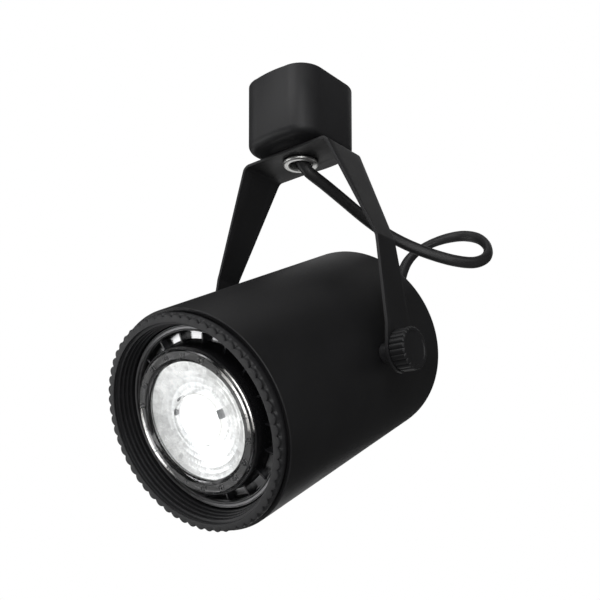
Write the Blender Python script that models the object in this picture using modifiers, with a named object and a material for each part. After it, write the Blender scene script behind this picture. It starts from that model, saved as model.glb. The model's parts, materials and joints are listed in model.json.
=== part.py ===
"""Track spotlight: a yoke-mounted cylinder head under a track adapter, with a PAR20 LED lamp.

The world frame has +Z up, X along the tilt axis and -Y at the front. Its origin is on the pan axis,
in the plane of the adapter's top face, which seats on the track.

The head is modelled in its own frame: +Z forward along the can, Y up and X along the tilt axis,
with its origin where the can's axis crosses the tilt axis.
"""

import math

import bmesh
import bpy
from mathutils import Matrix, Vector

MM = 0.001
GAP = 0.3 * MM

# Track adapter, measured down from its top face
ADAPTER_HALF_X = 18.1 * MM
ADAPTER_HALF_Y = 19.2 * MM
ADAPTER_BOW = 0.6 * MM
ADAPTER_CORNER = 10.5 * MM
ADAPTER_HEIGHT = 30.3 * MM
ADAPTER_DRAFT = 0.35 * MM
ADAPTER_BOTTOM_ROUND = 3.0 * MM
ADAPTER_WALL = 2.0 * MM
ADAPTER_FLOOR_Z = -28.0 * MM
LID_THICKNESS = 1.7 * MM
LID_LEDGE = 1.0 * MM
BOSS_RADIUS = 10.0 * MM
BOSS_BOTTOM_Z = -31.3 * MM
LID_SCREW_PLACES = ((10.5 * MM, -11.5 * MM), (-10.5 * MM, 11.5 * MM))
LATCH_X = -13.9 * MM

# Hollow stem that the yoke turns on
STEM_RADIUS = 5.6 * MM
STEM_BORE = 4.7 * MM

# Yoke, one bent strip
SHEET = 1.2 * MM
PLATE_TOP_Z = -32.5 * MM
PLATE_HALF_X = 21.5 * MM
PLATE_HALF_Y = 10.8 * MM
ARM_KNEE = (41.1 * MM, -77.6 * MM)
ARM_KNEE_HALF_Y = 5.6 * MM
ARM_PAD_X = 45.6 * MM
ARM_PAD_TOP = 9.0 * MM
ARM_EYE = 8.05 * MM
PIVOT_HOLE = 2.8 * MM

# Head
TILT_Z = -121.6 * MM
REST_TILT = math.radians(26.5)
CAN_RADIUS = 39.0 * MM
CAN_WALL = 1.5 * MM
CAN_FRONT = 60.5 * MM
CAN_BACK = -42.0 * MM
CAN_BACK_ROUND = 3.5 * MM
GLAND_HOLE = 6.6 * MM
GLAND_LENGTH = 20.0 * MM
BACK_SCREW_Y = 21.0 * MM
BACK_SCREW_HOLE = 1.9 * MM

# Bezel ring
GRIP_TEETH = 60
GRIP_TIP = 37.8 * MM
GRIP_VALLEY = 36.7 * MM
BEZEL_FRONT = 64.6 * MM
BEZEL_LIP = 34.6 * MM
FLANGE_RADIUS = 37.9 * MM
FLANGE_FRONT = 63.2 * MM
BAFFLE_STEPS = 4

# Clamping knobs
KNOB_FLUTES = 22
KNOB_RADIUS = 7.8 * MM
KNOB_VALLEY = 7.2 * MM
KNOB_BASE_X = 46.5 * MM
KNOB_HEIGHT = 6.0 * MM
STUD_RADIUS = 2.4 * MM

# Lamp
LAMP_RADIUS = 32.5 * MM
LAMP_FACE = 57.1 * MM
RIM_DEPTH = 10.1 * MM
FIN_COUNT = 18
FIN_OFFSET = math.radians(8.5)
FIN_THICKNESS = 1.0 * MM

# Cord: the route's own points, from inside the stem to inside the gland
CORD_DIAMETER = 5.0 * MM
CORD_POINTS = 76
CORD_ROUTE = (
    (0.0, 0.0, -24.0),
    (0.0, 0.0, -29.5),
    (0.5, 0.6, -34.0),
    (2.2, 3.0, -38.0),
    (4.8, 9.5, -41.8),
    (8.0, 18.5, -47.0),
    (11.8, 28.0, -53.0),
    (16.4, 36.5, -58.5),
    (22.1, 44.0, -63.0),
    (29.3, 51.0, -67.0),
    (36.8, 57.5, -70.0),
    (42.4, 64.5, -70.3),
    (44.4, 72.0, -66.4),
    (42.0, 78.8, -59.4),
    (36.0, 82.8, -52.6),
    (28.0, 83.6, -48.9),
    (20.0, 81.8, -48.6),
    (12.8, 79.4, -50.2),
    (7.0, 76.6, -53.3),
    (3.2, 73.5, -58.5),
    (1.2, 71.2, -65.5),
    (0.5, 69.6, -73.0),
    (0.2, 67.2, -80.2),
    (0.0, 62.8, -87.4),
    (0.0, 56.4, -93.5),
    (0.0, 51.0, -96.2),
    (0.0, 46.5, -98.4),
    (0.0, 40.0, -101.7),
    (0.0, 33.5, -104.9),
)


# --- scene helpers ---------------------------------------------------------------------------


def clear_scene():
    for obj in list(bpy.data.objects):
        bpy.data.objects.remove(obj, do_unlink=True)


def new_collection(name):
    collection = bpy.data.collections.new(name)
    bpy.context.scene.collection.children.link(collection)
    return collection


def make_material(name, colour, roughness, metallic=0.0):
    material = bpy.data.materials.new(name)
    material.use_nodes = True
    shader = material.node_tree.nodes["Principled BSDF"]
    shader.inputs["Base Color"].default_value = (*colour, 1.0)
    shader.inputs["Roughness"].default_value = roughness
    shader.inputs["Metallic"].default_value = metallic
    material.diffuse_color = (*colour, 1.0)
    material.roughness = roughness
    material.metallic = metallic
    return material


def empty(name, place, rotation=(0.0, 0.0, 0.0), parent=None):
    obj = bpy.data.objects.new(name, None)
    parts.objects.link(obj)
    obj.location = place
    obj.rotation_euler = rotation
    obj.parent = parent
    return obj


def solid(name, mesh, material, parent=None):
    """One named piece of the spotlight."""
    obj = bpy.data.objects.new(name, mesh)
    parts.objects.link(obj)
    obj.parent = parent
    obj.data.materials.append(make_material(name, *material))
    return obj


def cutter(name, mesh, parent=None):
    """A helper that a Boolean cuts with or joins on."""
    obj = bpy.data.objects.new(name, mesh)
    cutters.objects.link(obj)
    obj.parent = parent
    obj.hide_render = True
    obj.display_type = "WIRE"
    return obj


def boolean(obj, other, operation="DIFFERENCE"):
    modifier = obj.modifiers.new(f"{operation.lower()} {other.name}", "BOOLEAN")
    modifier.solver = "EXACT"
    modifier.operation = operation
    modifier.object = other


def smooth(obj, angle=32.0):
    obj.data.shade_smooth()
    obj.data.set_sharp_from_angle(angle=math.radians(angle))


# --- mesh helpers ----------------------------------------------------------------------------


def box_mesh(name, low, high):
    mesh = bpy.data.meshes.new(name)
    shape = bmesh.new()
    bmesh.ops.create_cube(shape, size=1.0)
    size = Vector(high) - Vector(low)
    middle = (Vector(high) + Vector(low)) / 2
    bmesh.ops.scale(shape, vec=size, verts=shape.verts)
    bmesh.ops.translate(shape, vec=middle, verts=shape.verts)
    shape.to_mesh(mesh)
    shape.free()
    return mesh


def cylinder_mesh(name, radius, start, end, sides=32, axis="Z"):
    """A closed cylinder about one of the axes, from start to end along it."""
    mesh = bpy.data.meshes.new(name)
    shape = bmesh.new()
    bmesh.ops.create_cone(
        shape, cap_ends=True, segments=sides, radius1=radius, radius2=radius, depth=end - start
    )
    bmesh.ops.translate(shape, vec=(0.0, 0.0, (start + end) / 2), verts=shape.verts)
    if axis == "X":
        bmesh.ops.rotate(shape, matrix=Matrix.Rotation(math.pi / 2, 3, "Y"), verts=shape.verts)
    shape.to_mesh(mesh)
    shape.free()
    return mesh


def outline_mesh(name, outline, low, high, plane="XY"):
    """A closed flat outline given a thickness, from low to high across its plane."""
    curve = bpy.data.curves.new(name, "CURVE")
    curve.dimensions = "2D"
    curve.fill_mode = "BOTH"
    curve.extrude = (high - low) / 2
    spline = curve.splines.new("POLY")
    spline.points.add(len(outline) - 1)
    for point, (u, v) in zip(spline.points, outline):
        point.co = (u, v, 0.0, 1.0)
    spline.use_cyclic_u = True
    guide = bpy.data.objects.new(name, curve)
    cutters.objects.link(guide)
    graph = bpy.context.evaluated_depsgraph_get()
    mesh = bpy.data.meshes.new_from_object(guide.evaluated_get(graph))
    bpy.data.objects.remove(guide, do_unlink=True)
    turn = {
        "XY": Matrix.Identity(4),
        "XZ": Matrix.Rotation(math.pi / 2, 4, "X"),
        "YZ": Matrix(((0, 0, 1, 0), (1, 0, 0, 0), (0, 1, 0, 0), (0, 0, 0, 1))),
    }[plane]
    across = (low + high) / 2
    mesh.transform(turn @ Matrix.Translation((0.0, 0.0, -across if plane == "XZ" else across)))
    shape = bmesh.new()
    shape.from_mesh(mesh)
    bmesh.ops.remove_doubles(shape, verts=shape.verts, dist=1e-6)
    bmesh.ops.recalc_face_normals(shape, faces=shape.faces)
    shape.to_mesh(mesh)
    shape.free()
    return mesh


def strip_mesh(name, path, half_width, plane="XZ"):
    """An open ribbon: the path is drawn in one plane and swept straight across it."""
    shape = bmesh.new()
    rows = []
    for u, v in path:
        ends = ((u, -half_width, v), (u, half_width, v))
        if plane == "YZ":
            ends = ((-half_width, u, v), (half_width, u, v))
        rows.append([shape.verts.new(end) for end in ends])
    for (a, b), (c, d) in zip(rows, rows[1:]):
        shape.faces.new((a, b, d, c))
    mesh = bpy.data.meshes.new(name)
    shape.to_mesh(mesh)
    shape.free()
    return mesh


def thicken(obj, thickness):
    modifier = obj.modifiers.new("sheet", "SOLIDIFY")
    modifier.thickness = thickness
    modifier.offset = 0.0
    modifier.use_even_offset = True


def arc(centre, radius, start, end, count):
    """Points of an arc, angles in degrees, both ends included."""
    points = []
    for step in range(count + 1):
        angle = math.radians(start + (end - start) * step / count)
        points.append((centre[0] + radius * math.cos(angle), centre[1] + radius * math.sin(angle)))
    return points


def rounded_path(corners, radius, count=4):
    """An open polyline whose inner corners are rounded with arcs of one radius."""
    path = [Vector(corners[0])]
    for before, corner, after in zip(corners, corners[1:], corners[2:]):
        corner = Vector(corner)
        back = (Vector(before) - corner).normalized()
        on = (Vector(after) - corner).normalized()
        half = back.angle(on) / 2
        centre = corner + (back + on).normalized() * radius / math.sin(half)
        first = corner + back * radius / math.tan(half)
        last = corner + on * radius / math.tan(half)
        start = first - centre
        sweep = math.atan2(start.cross(last - centre), start.dot(last - centre))
        for step in range(count + 1):
            path.append(centre + Matrix.Rotation(sweep * step / count, 2) @ start)
    path.append(Vector(corners[-1]))
    return path


def turned(name, profile, steps=48, closed=True):
    """A profile of (radius, height) points about Z, for a Screw modifier."""
    mesh = bpy.data.meshes.new(name)
    count = len(profile)
    edges = [(index, index + 1) for index in range(count - 1)]
    if closed:
        edges.append((count - 1, 0))
    mesh.from_pydata([(radius, 0.0, height) for radius, height in profile], edges, [])
    return mesh, steps


def spin(obj, steps):
    modifier = obj.modifiers.new("turn", "SCREW")
    modifier.steps = steps
    modifier.render_steps = steps
    modifier.use_merge_vertices = True
    modifier.merge_threshold = 1e-5
    modifier.use_smooth_shade = True


def turned_solid(name, profile, material, parent=None, steps=48, closed=True):
    mesh, steps = turned(name, profile, steps, closed)
    obj = solid(name, mesh, material, parent)
    spin(obj, steps)
    return obj


def turned_cutter(name, profile, parent=None, steps=48, closed=True):
    mesh, steps = turned(name, profile, steps, closed)
    obj = cutter(name, mesh, parent)
    spin(obj, steps)
    return obj


def in_mm(points):
    return [(u * MM, v * MM) for u, v in points]


# --- finishes: colour, roughness, metallic -----------------------------------------------------

BLACK_PAINT = ((0.012, 0.012, 0.013), 0.42)
BLACK_PLASTIC = ((0.014, 0.014, 0.015), 0.5)
BLACK_RUBBER = ((0.016, 0.016, 0.016), 0.6)
NICKEL = ((0.78, 0.77, 0.75), 0.25, 1.0)
STEEL = ((0.55, 0.55, 0.56), 0.35, 1.0)
BRASS = ((0.74, 0.56, 0.28), 0.3, 1.0)
COPPER = ((0.78, 0.45, 0.3), 0.3, 1.0)
WHITE_CERAMIC = ((0.85, 0.84, 0.8), 0.35)
GREY_PLASTIC = ((0.35, 0.35, 0.35), 0.5)
NYLON = ((0.75, 0.74, 0.7), 0.55)
BLACK_ALUMINIUM = ((0.02, 0.02, 0.021), 0.35, 0.6)
GREY_RIM = ((0.42, 0.42, 0.43), 0.3, 0.8)
CLEAR = ((0.85, 0.87, 0.88), 0.05)
MIRROR = ((0.9, 0.9, 0.9), 0.08, 1.0)
PHOSPHOR = ((0.95, 0.93, 0.82), 0.5)


# --- track adapter -----------------------------------------------------------------------------


def adapter_outline(inset):
    """The adapter's plan: bowed front and back, flat sides, large round corners."""
    half_x = ADAPTER_HALF_X - inset
    half_y = ADAPTER_HALF_Y - inset
    corner = ADAPTER_CORNER - inset
    flat = half_x - corner
    points = []
    for sign_x, sign_y, start in ((1, 1, 0), (-1, 1, 90), (-1, -1, 180), (1, -1, 270)):
        centre = (sign_x * flat, sign_y * (half_y - corner))
        points += arc(centre, corner, start, start + 90, 5)
        if start in (0, 180):
            for part in (0.5, 0.0, -0.5):
                bow = ADAPTER_BOW * (1 - part * part)
                points.append((sign_x * flat * part, sign_y * (half_y + bow)))
    return points


def adapter_block():
    """The outer block, tapered by its draft, with its bottom edge marked for rounding."""
    shape = bmesh.new()
    top = [shape.verts.new((x, y, 0.0)) for x, y in adapter_outline(0.0)]
    low_outline = adapter_outline(ADAPTER_DRAFT)
    low = [shape.verts.new((x, y, -ADAPTER_HEIGHT)) for x, y in low_outline]
    shape.faces.new(top)
    shape.faces.new(list(reversed(low)))
    count = len(top)
    for index in range(count):
        after = (index + 1) % count
        shape.faces.new((low[index], low[after], top[after], top[index]))
    weight = shape.edges.layers.float.new("bevel_weight_edge")
    for edge in shape.edges:
        if all(vert.co.z < -ADAPTER_HEIGHT / 2 for vert in edge.verts):
            edge[weight] = 1.0
    mesh = bpy.data.meshes.new("adapter_housing")
    shape.to_mesh(mesh)
    shape.free()
    return mesh


def build_adapter_housing():
    housing = solid("adapter_housing", adapter_block(), BLACK_PLASTIC)
    rounding = housing.modifiers.new("bottom edge", "BEVEL")
    rounding.limit_method = "WEIGHT"
    rounding.width = ADAPTER_BOTTOM_ROUND
    rounding.segments = 3
    boss = [(0.0, -26.5 * MM), (BOSS_RADIUS + 1.2 * MM, -26.5 * MM)]
    boss.append((BOSS_RADIUS + 1.2 * MM, -ADAPTER_HEIGHT - 0.1 * MM))
    boss += [(BOSS_RADIUS, -ADAPTER_HEIGHT - 0.6 * MM), (BOSS_RADIUS, BOSS_BOTTOM_Z)]
    boss.append((0.0, BOSS_BOTTOM_Z))
    boolean(housing, turned_cutter("adapter_boss", boss, closed=False), "UNION")
    cavity = outline_mesh("adapter_cavity", adapter_outline(ADAPTER_WALL), ADAPTER_FLOOR_Z, 3 * MM)
    boolean(housing, cutter("adapter_cavity", cavity))
    ledge = outline_mesh(
        "adapter_ledge", adapter_outline(LID_LEDGE), -LID_THICKNESS - GAP, 3 * MM
    )
    boolean(housing, cutter("adapter_ledge", ledge))
    for number, (x, y) in enumerate(LID_SCREW_PLACES, 1):
        top = -LID_THICKNESS - 2 * GAP
        post = cylinder_mesh(f"screw_post_{number}", 3.0 * MM, ADAPTER_FLOOR_Z - 1 * MM, top, 20)
        post.transform(Matrix.Translation((x, y, 0.0)))
        boolean(housing, cutter(f"screw_post_{number}", post), "UNION")
        bore = cylinder_mesh(f"screw_bore_{number}", 1.6 * MM, -14 * MM, 1 * MM, 16)
        bore.transform(Matrix.Translation((x, y, 0.0)))
        boolean(housing, cutter(f"screw_bore_{number}", bore))
    stem_hole = cylinder_mesh("stem_hole", STEM_RADIUS + GAP, -40 * MM, -20 * MM, 40)
    boolean(housing, cutter("stem_hole", stem_hole))
    slot = box_mesh(
        "latch_window",
        (-25 * MM, -3.9 * MM, -16.4 * MM),
        (-15 * MM, 3.9 * MM, -8.0 * MM),
    )
    boolean(housing, cutter("latch_window", slot))
    smooth(housing)


def build_adapter_lid():
    outline = adapter_outline(LID_LEDGE + GAP)
    lid = solid(
        "adapter_lid", outline_mesh("adapter_lid", outline, -LID_THICKNESS, 0.0), BLACK_PLASTIC
    )
    openings = {
        "carrier_window": ((-9.0, -5.6), (9.0, 5.6)),
        "latch_slot": ((-15.3, -3.9), (-12.5, 3.9)),
        "ground_slot": ((11.8, -2.4), (13.4, 2.4)),
    }
    for name, ((x_low, y_low), (x_high, y_high)) in openings.items():
        low = (x_low * MM, y_low * MM, -5 * MM)
        high = (x_high * MM, y_high * MM, 5 * MM)
        boolean(lid, cutter(name, box_mesh(name, low, high)))
    sink = in_mm([(0.0, 0.3), (3.3, 0.3), (1.6, -1.35), (1.6, -3.0), (0.0, -3.0)])
    for number, (x, y) in enumerate(LID_SCREW_PLACES, 1):
        name = f"lid_countersink_{number}"
        hole = turned_cutter(name, sink, steps=20, closed=False)
        hole.location = (x, y, 0.0)
        boolean(lid, hole)
    smooth(lid)


def build_lid_screws():
    profile = in_mm([(0.0, -0.1), (2.6, -0.1), (1.25, -1.45), (1.25, -11.0), (0.0, -11.6)])
    for number, (x, y) in enumerate(LID_SCREW_PLACES, 1):
        screw = turned_solid(f"lid_screw_{number}", profile, STEEL, steps=20, closed=False)
        screw.location = (x, y, 0.0)


def build_contacts():
    """The moulded tower that enters the track, and the three spring blades on it."""
    right = [(10.5, -4.4), (10.5, -2.1), (5.0, -2.1), (5.0, 5.2), (7.6, 5.2), (7.6, 6.8), (6.2, 7.8)]
    tower = right + [(-x, z) for x, z in reversed(right)]
    mesh = outline_mesh("contact_carrier", in_mm(tower), -4.0 * MM, 4.0 * MM, "XZ")
    solid("contact_carrier", mesh, GREY_PLASTIC)
    blade = [(4.3, -11), (5.0, -11), (5.0, 0.9), (6.4, 2.9), (6.4, 3.7), (5.0, 5.7)]
    blade += [(5.0, 6.8), (4.3, 6.8), (4.3, 5.5), (5.7, 3.5), (5.7, 3.1), (4.3, 1.1)]
    for name, side in (("contact_live", 1), ("contact_neutral", -1)):
        outline = [(side * y * MM, z * MM) for y, z in blade]
        mesh = outline_mesh(name, outline, -2.0 * MM, 2.0 * MM, "YZ")
        solid(name, mesh, COPPER)
    ground = [(12.2, -11), (12.9, -11), (12.9, 1.0), (14.2, 2.8), (12.9, 4.6), (12.2, 4.6)]
    ground += [(13.3, 2.8), (12.2, 1.2)]
    mesh = outline_mesh("contact_ground", in_mm(ground), -2.0 * MM, 2.0 * MM, "XZ")
    solid("contact_ground", mesh, COPPER)


def build_terminal_block():
    low = (-6.5 * MM, 6.2 * MM, -20.0 * MM)
    high = (6.5 * MM, 14.0 * MM, -11.4 * MM)
    block = solid("terminal_block", box_mesh("terminal_block", low, high), WHITE_CERAMIC)
    for number, x in enumerate((-4.2, 0.0, 4.2), 1):
        well = cylinder_mesh(f"terminal_well_{number}", 1.5 * MM, -17 * MM, -10 * MM, 16)
        well.transform(Matrix.Translation((x * MM, 10.0 * MM, 0.0)))
        boolean(block, cutter(f"terminal_well_{number}", well))


def build_release_latch():
    """A sliding latch: its pin locks in the track and its thumb tab stands out of the side."""
    frame = empty("latch_slide", (LATCH_X, 0.0, 0.0))
    outline = [(-1.0, 3.2), (1.0, 3.2), (1.0, -20.0), (-1.0, -20.0), (-1.0, -12.0)]
    outline += [(-6.4, -12.0), (-6.4, -9.4), (-1.0, -8.6)]
    mesh = outline_mesh("release_latch", in_mm(outline), -3.5 * MM, 3.5 * MM, "XZ")
    latch = solid("release_latch", mesh, GREY_PLASTIC, frame)
    rounding = latch.modifiers.new("edges", "BEVEL")
    rounding.width = 0.3 * MM
    rounding.segments = 1
    smooth(latch)


def build_release_spring():
    turns = 4
    curve = bpy.data.curves.new("release_spring", "CURVE")
    curve.dimensions = "3D"
    curve.bevel_depth = 0.28 * MM
    curve.bevel_resolution = 1
    curve.use_fill_caps = True
    spline = curve.splines.new("POLY")
    count = turns * 10 + 1
    spline.points.add(count - 1)
    low, high = ADAPTER_FLOOR_Z + 0.6 * MM, -20.6 * MM
    for index, point in enumerate(spline.points):
        part = index / (count - 1)
        angle = 2 * math.pi * turns * part
        x = LATCH_X + 1.5 * MM * math.cos(angle)
        y = 1.5 * MM * math.sin(angle)
        point.co = (x, y, low + (high - low) * part, 1.0)
    spring = bpy.data.objects.new("release_spring", curve)
    parts.objects.link(spring)
    curve.materials.append(make_material("release_spring", *STEEL))


def build_swivel():
    """The flanged hollow stem, its inner nut, and the washer under the boss."""
    flange = [(5.6, -34.0), (7.1, -34.0), (7.45, -34.35), (7.3, -34.95), (6.6, -35.4)]
    flange += [(5.6, -35.5), (5.0, -35.2), (4.7, -34.6)]
    profile = [(STEM_BORE, -22 * MM), (STEM_RADIUS, -22 * MM)] + in_mm(flange)
    turned_solid("swivel_stem", profile, NICKEL, steps=28)
    hexagon = arc((0.0, 0.0), 8.4 * MM, 30, 330, 5)
    nut = solid(
        "stem_nut", outline_mesh("stem_nut", hexagon, -27.6 * MM, -24.4 * MM), STEEL
    )
    bore = cylinder_mesh("stem_nut_bore", STEM_RADIUS + GAP, -30 * MM, -20 * MM, 40)
    boolean(nut, cutter("stem_nut_bore", bore))
    washer = [(5.9, -31.6), (9.4, -31.6), (9.4, -32.2), (5.9, -32.2)]
    turned_solid("friction_washer", in_mm(washer), NYLON, steps=28)


# --- yoke --------------------------------------------------------------------------------------


def build_yoke():
    """A strip bent in the XZ plane, cut to its width, which tapers to a knee and widens to an eye."""
    pivot = empty("pan_pivot", (0.0, 0.0, PLATE_TOP_Z))
    mid_z = PLATE_TOP_Z - SHEET / 2
    right = [(PLATE_HALF_X, mid_z), ARM_KNEE, (ARM_PAD_X, TILT_Z + ARM_PAD_TOP)]
    right.append((ARM_PAD_X, TILT_Z - ARM_EYE - 2 * MM))
    corners = [(-x, z) for x, z in reversed(right)] + right
    path = rounded_path(corners, 3.2 * MM)
    strip = strip_mesh("yoke_bracket", [(x, z - PLATE_TOP_Z) for x, z in path], 13 * MM)
    yoke = solid("yoke_bracket", strip, BLACK_PAINT, pivot)
    thicken(yoke, SHEET)
    side = [(PLATE_HALF_Y, PLATE_TOP_Z + 3 * MM), (-PLATE_HALF_Y, PLATE_TOP_Z + 3 * MM)]
    side += [(-PLATE_HALF_Y, PLATE_TOP_Z - 2 * MM), (-ARM_KNEE_HALF_Y, ARM_KNEE[1])]
    side += arc((0.0, TILT_Z), ARM_EYE, 180, 360, 16)
    side += [(ARM_KNEE_HALF_Y, ARM_KNEE[1]), (PLATE_HALF_Y, PLATE_TOP_Z - 2 * MM)]
    width = outline_mesh("yoke_width", side, -60 * MM, 60 * MM, "YZ")
    boolean(yoke, cutter("yoke_width", width), "INTERSECT")
    stem_hole = cylinder_mesh("yoke_stem_hole", STEM_RADIUS + GAP, -40 * MM, -28 * MM, 40)
    boolean(yoke, cutter("yoke_stem_hole", stem_hole))
    pivot_hole = cylinder_mesh("yoke_pivot_hole", PIVOT_HOLE, -60 * MM, 60 * MM, 24, "X")
    pivot_hole.transform(Matrix.Translation((0.0, 0.0, TILT_Z)))
    boolean(yoke, cutter("yoke_pivot_hole", pivot_hole))
    smooth(yoke)
    return pivot


# --- head --------------------------------------------------------------------------------------


def build_can(head):
    """The spun can: open in front, closed and rounded behind."""
    inner = CAN_RADIUS - CAN_WALL
    back = CAN_BACK + CAN_BACK_ROUND
    profile = [(inner, CAN_FRONT), (CAN_RADIUS - 0.4 * MM, CAN_FRONT)]
    profile.append((CAN_RADIUS, CAN_FRONT - 0.4 * MM))
    profile += arc((CAN_RADIUS - CAN_BACK_ROUND, back), CAN_BACK_ROUND, 0, -90, 4)
    profile += [(GLAND_HOLE, CAN_BACK), (GLAND_HOLE, CAN_BACK + CAN_WALL)]
    profile += arc((CAN_RADIUS - CAN_BACK_ROUND, back), CAN_BACK_ROUND - CAN_WALL, -90, 0, 2)
    can = turned_solid("can_body", profile, BLACK_PAINT, head, steps=56)
    stud_hole = cylinder_mesh("can_stud_hole", PIVOT_HOLE, -60 * MM, 60 * MM, 24, "X")
    boolean(can, cutter("can_stud_hole", stud_hole, head))
    for number, side in enumerate((1, -1), 1):
        name = f"can_screw_hole_{number}"
        hole = cylinder_mesh(name, BACK_SCREW_HOLE, -60 * MM, -30 * MM, 16)
        hole.transform(Matrix.Translation((0.0, side * BACK_SCREW_Y, 0.0)))
        boolean(can, cutter(name, hole, head))
    smooth(can)


def build_gland(head):
    """The strain relief in the middle of the back, and its nut inside."""
    nose_end = CAN_BACK - GAP - GLAND_LENGTH
    profile = [(2.9, -36.5), (6.2, -36.5), (6.2, -42.3), (8.4, -42.3), (8.6, -42.8), (8.6, -44.4)]
    profile += [(8.0, -45.2), (5.4, -45.8)]
    profile = in_mm(profile)
    ribs = 3
    for rib in range(ribs):
        start = -46.5 * MM + (nose_end + 51.0 * MM) * rib / (ribs - 1)
        radius = (5.2 - 0.6 * rib) * MM
        profile += [(radius, start), (radius, start - 2.4 * MM)]
        profile += [(radius - 0.6 * MM, start - 2.8 * MM), (radius - 0.6 * MM, start - 4.6 * MM)]
    profile += [(3.4 * MM, nose_end), (2.9 * MM, nose_end)]
    turned_solid("cord_gland", profile, BLACK_RUBBER, head, steps=20)
    hexagon = arc((0.0, 0.0), 9.6 * MM, 30, 330, 5)
    mesh = outline_mesh("gland_nut", hexagon, -40.1 * MM, -37.4 * MM)
    nut = solid("gland_nut", mesh, GREY_PLASTIC, head)
    bore = cylinder_mesh("gland_nut_bore", 6.5 * MM, -45 * MM, -30 * MM, 32)
    boolean(nut, cutter("gland_nut_bore", bore, head))


def build_lampholder(head):
    """The bracket across the back, its screws, and the screw-thread lampholder in front of it."""
    half = [(15.0, -32.6), (15.0, -39.6), (26.0, -39.6)]
    corners = in_mm([(-y, z) for y, z in reversed(half)] + half)
    path = rounded_path(corners, 1.6 * MM, 3)
    bracket = solid(
        "lampholder_bracket", strip_mesh("lampholder_bracket", path, 8 * MM, "YZ"), STEEL, head
    )
    thicken(bracket, SHEET)
    screw = [(0.0, -36.2), (1.55, -36.2), (1.55, -42.3), (3.2, -42.3), (3.2, -43.3), (2.4, -44.2)]
    screw = in_mm(screw + [(0.0, -44.4)])
    for number, side in enumerate((1, -1), 1):
        name = f"bracket_hole_{number}"
        hole = cylinder_mesh(name, BACK_SCREW_HOLE, -45 * MM, -35 * MM, 16)
        hole.transform(Matrix.Translation((0.0, side * BACK_SCREW_Y, 0.0)))
        boolean(bracket, cutter(name, hole, head))
        piece = turned_solid(f"back_screw_{number}", screw, STEEL, head, 20, closed=False)
        piece.location = (0.0, side * BACK_SCREW_Y, 0.0)
    body = [(0.0, -24.6), (14.7, -24.6), (14.7, 4.0), (17.0, 4.0), (17.5, 3.5), (17.5, -26.0)]
    body += [(14.5, -31.7), (0.0, -31.7)]
    turned_solid("lampholder_body", in_mm(body), WHITE_CERAMIC, head, 28, closed=False)
    shell = [(13.7, 3.0), (14.3, 3.0), (14.3, -21.6), (6.2, -21.6), (6.2, -21.0), (13.7, -21.0)]
    turned_solid("screw_shell", in_mm(shell), BRASS, head, 28)
    tongue = in_mm([(-5.0, -23.8), (-1.0, -23.8), (2.6, -20.8), (4.6, -20.8)])
    contact = solid(
        "centre_contact", strip_mesh("centre_contact", tongue, 2.5 * MM, "YZ"), BRASS, head
    )
    thicken(contact, 0.5 * MM)


def build_pivots(head):
    """Threaded studs through the can's sides, and the spacers that the arms bear on."""
    stud = [(0.0, 34.0), (5.0, 34.0), (5.0, 36.2), (2.4, 36.2), (2.4, 50.0), (0.0, 50.4)]
    stud = in_mm([(radius, -reach) for radius, reach in stud])
    spacer = in_mm([(2.8, -39.3), (3.7, -39.3), (3.7, -44.7), (2.8, -44.7)])
    for word, side in (("right", 1), ("left", -1)):
        along = empty(f"pivot_{word}", (0.0, 0.0, 0.0), (0.0, -side * math.pi / 2, 0.0), head)
        turned_solid(f"pivot_stud_{word}", stud, STEEL, along, 20, closed=False)
        turned_solid(f"pivot_spacer_{word}", spacer, BLACK_PLASTIC, along, 20)


def fluted_outline(count, tip, valley, per_flute=3):
    """A round outline with rounded scallops, for a grip."""
    points = []
    total = count * per_flute
    for index in range(total):
        turn = index / total
        wave = abs(math.sin(math.pi * count * turn))
        radius = valley + (tip - valley) * math.sqrt(wave)
        angle = 2 * math.pi * turn
        points.append((radius * math.cos(angle), radius * math.sin(angle)))
    return points


def build_knobs(head):
    outline = fluted_outline(KNOB_FLUTES, KNOB_RADIUS, KNOB_VALLEY)
    dish = in_mm([(0.0, 9.0), (6.6, 9.0), (6.2, 5.7), (5.6, 5.2), (0.0, 4.7)])
    for word, side in (("right", 1), ("left", -1)):
        place = (side * KNOB_BASE_X, 0.0, 0.0)
        along = empty(f"knob_axis_{word}", place, (0.0, side * math.pi / 2, 0.0), head)
        name = f"knob_{word}"
        knob = solid(name, outline_mesh(name, outline, 0.0, KNOB_HEIGHT), BLACK_PLASTIC, along)
        boolean(knob, turned_cutter(f"{name}_dish", dish, along, 24, closed=False))
        bore = cylinder_mesh(f"{name}_bore", STUD_RADIUS + GAP, -1 * MM, 4.1 * MM, 16)
        boolean(knob, cutter(f"{name}_bore", bore, along))
        smooth(knob)


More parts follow.
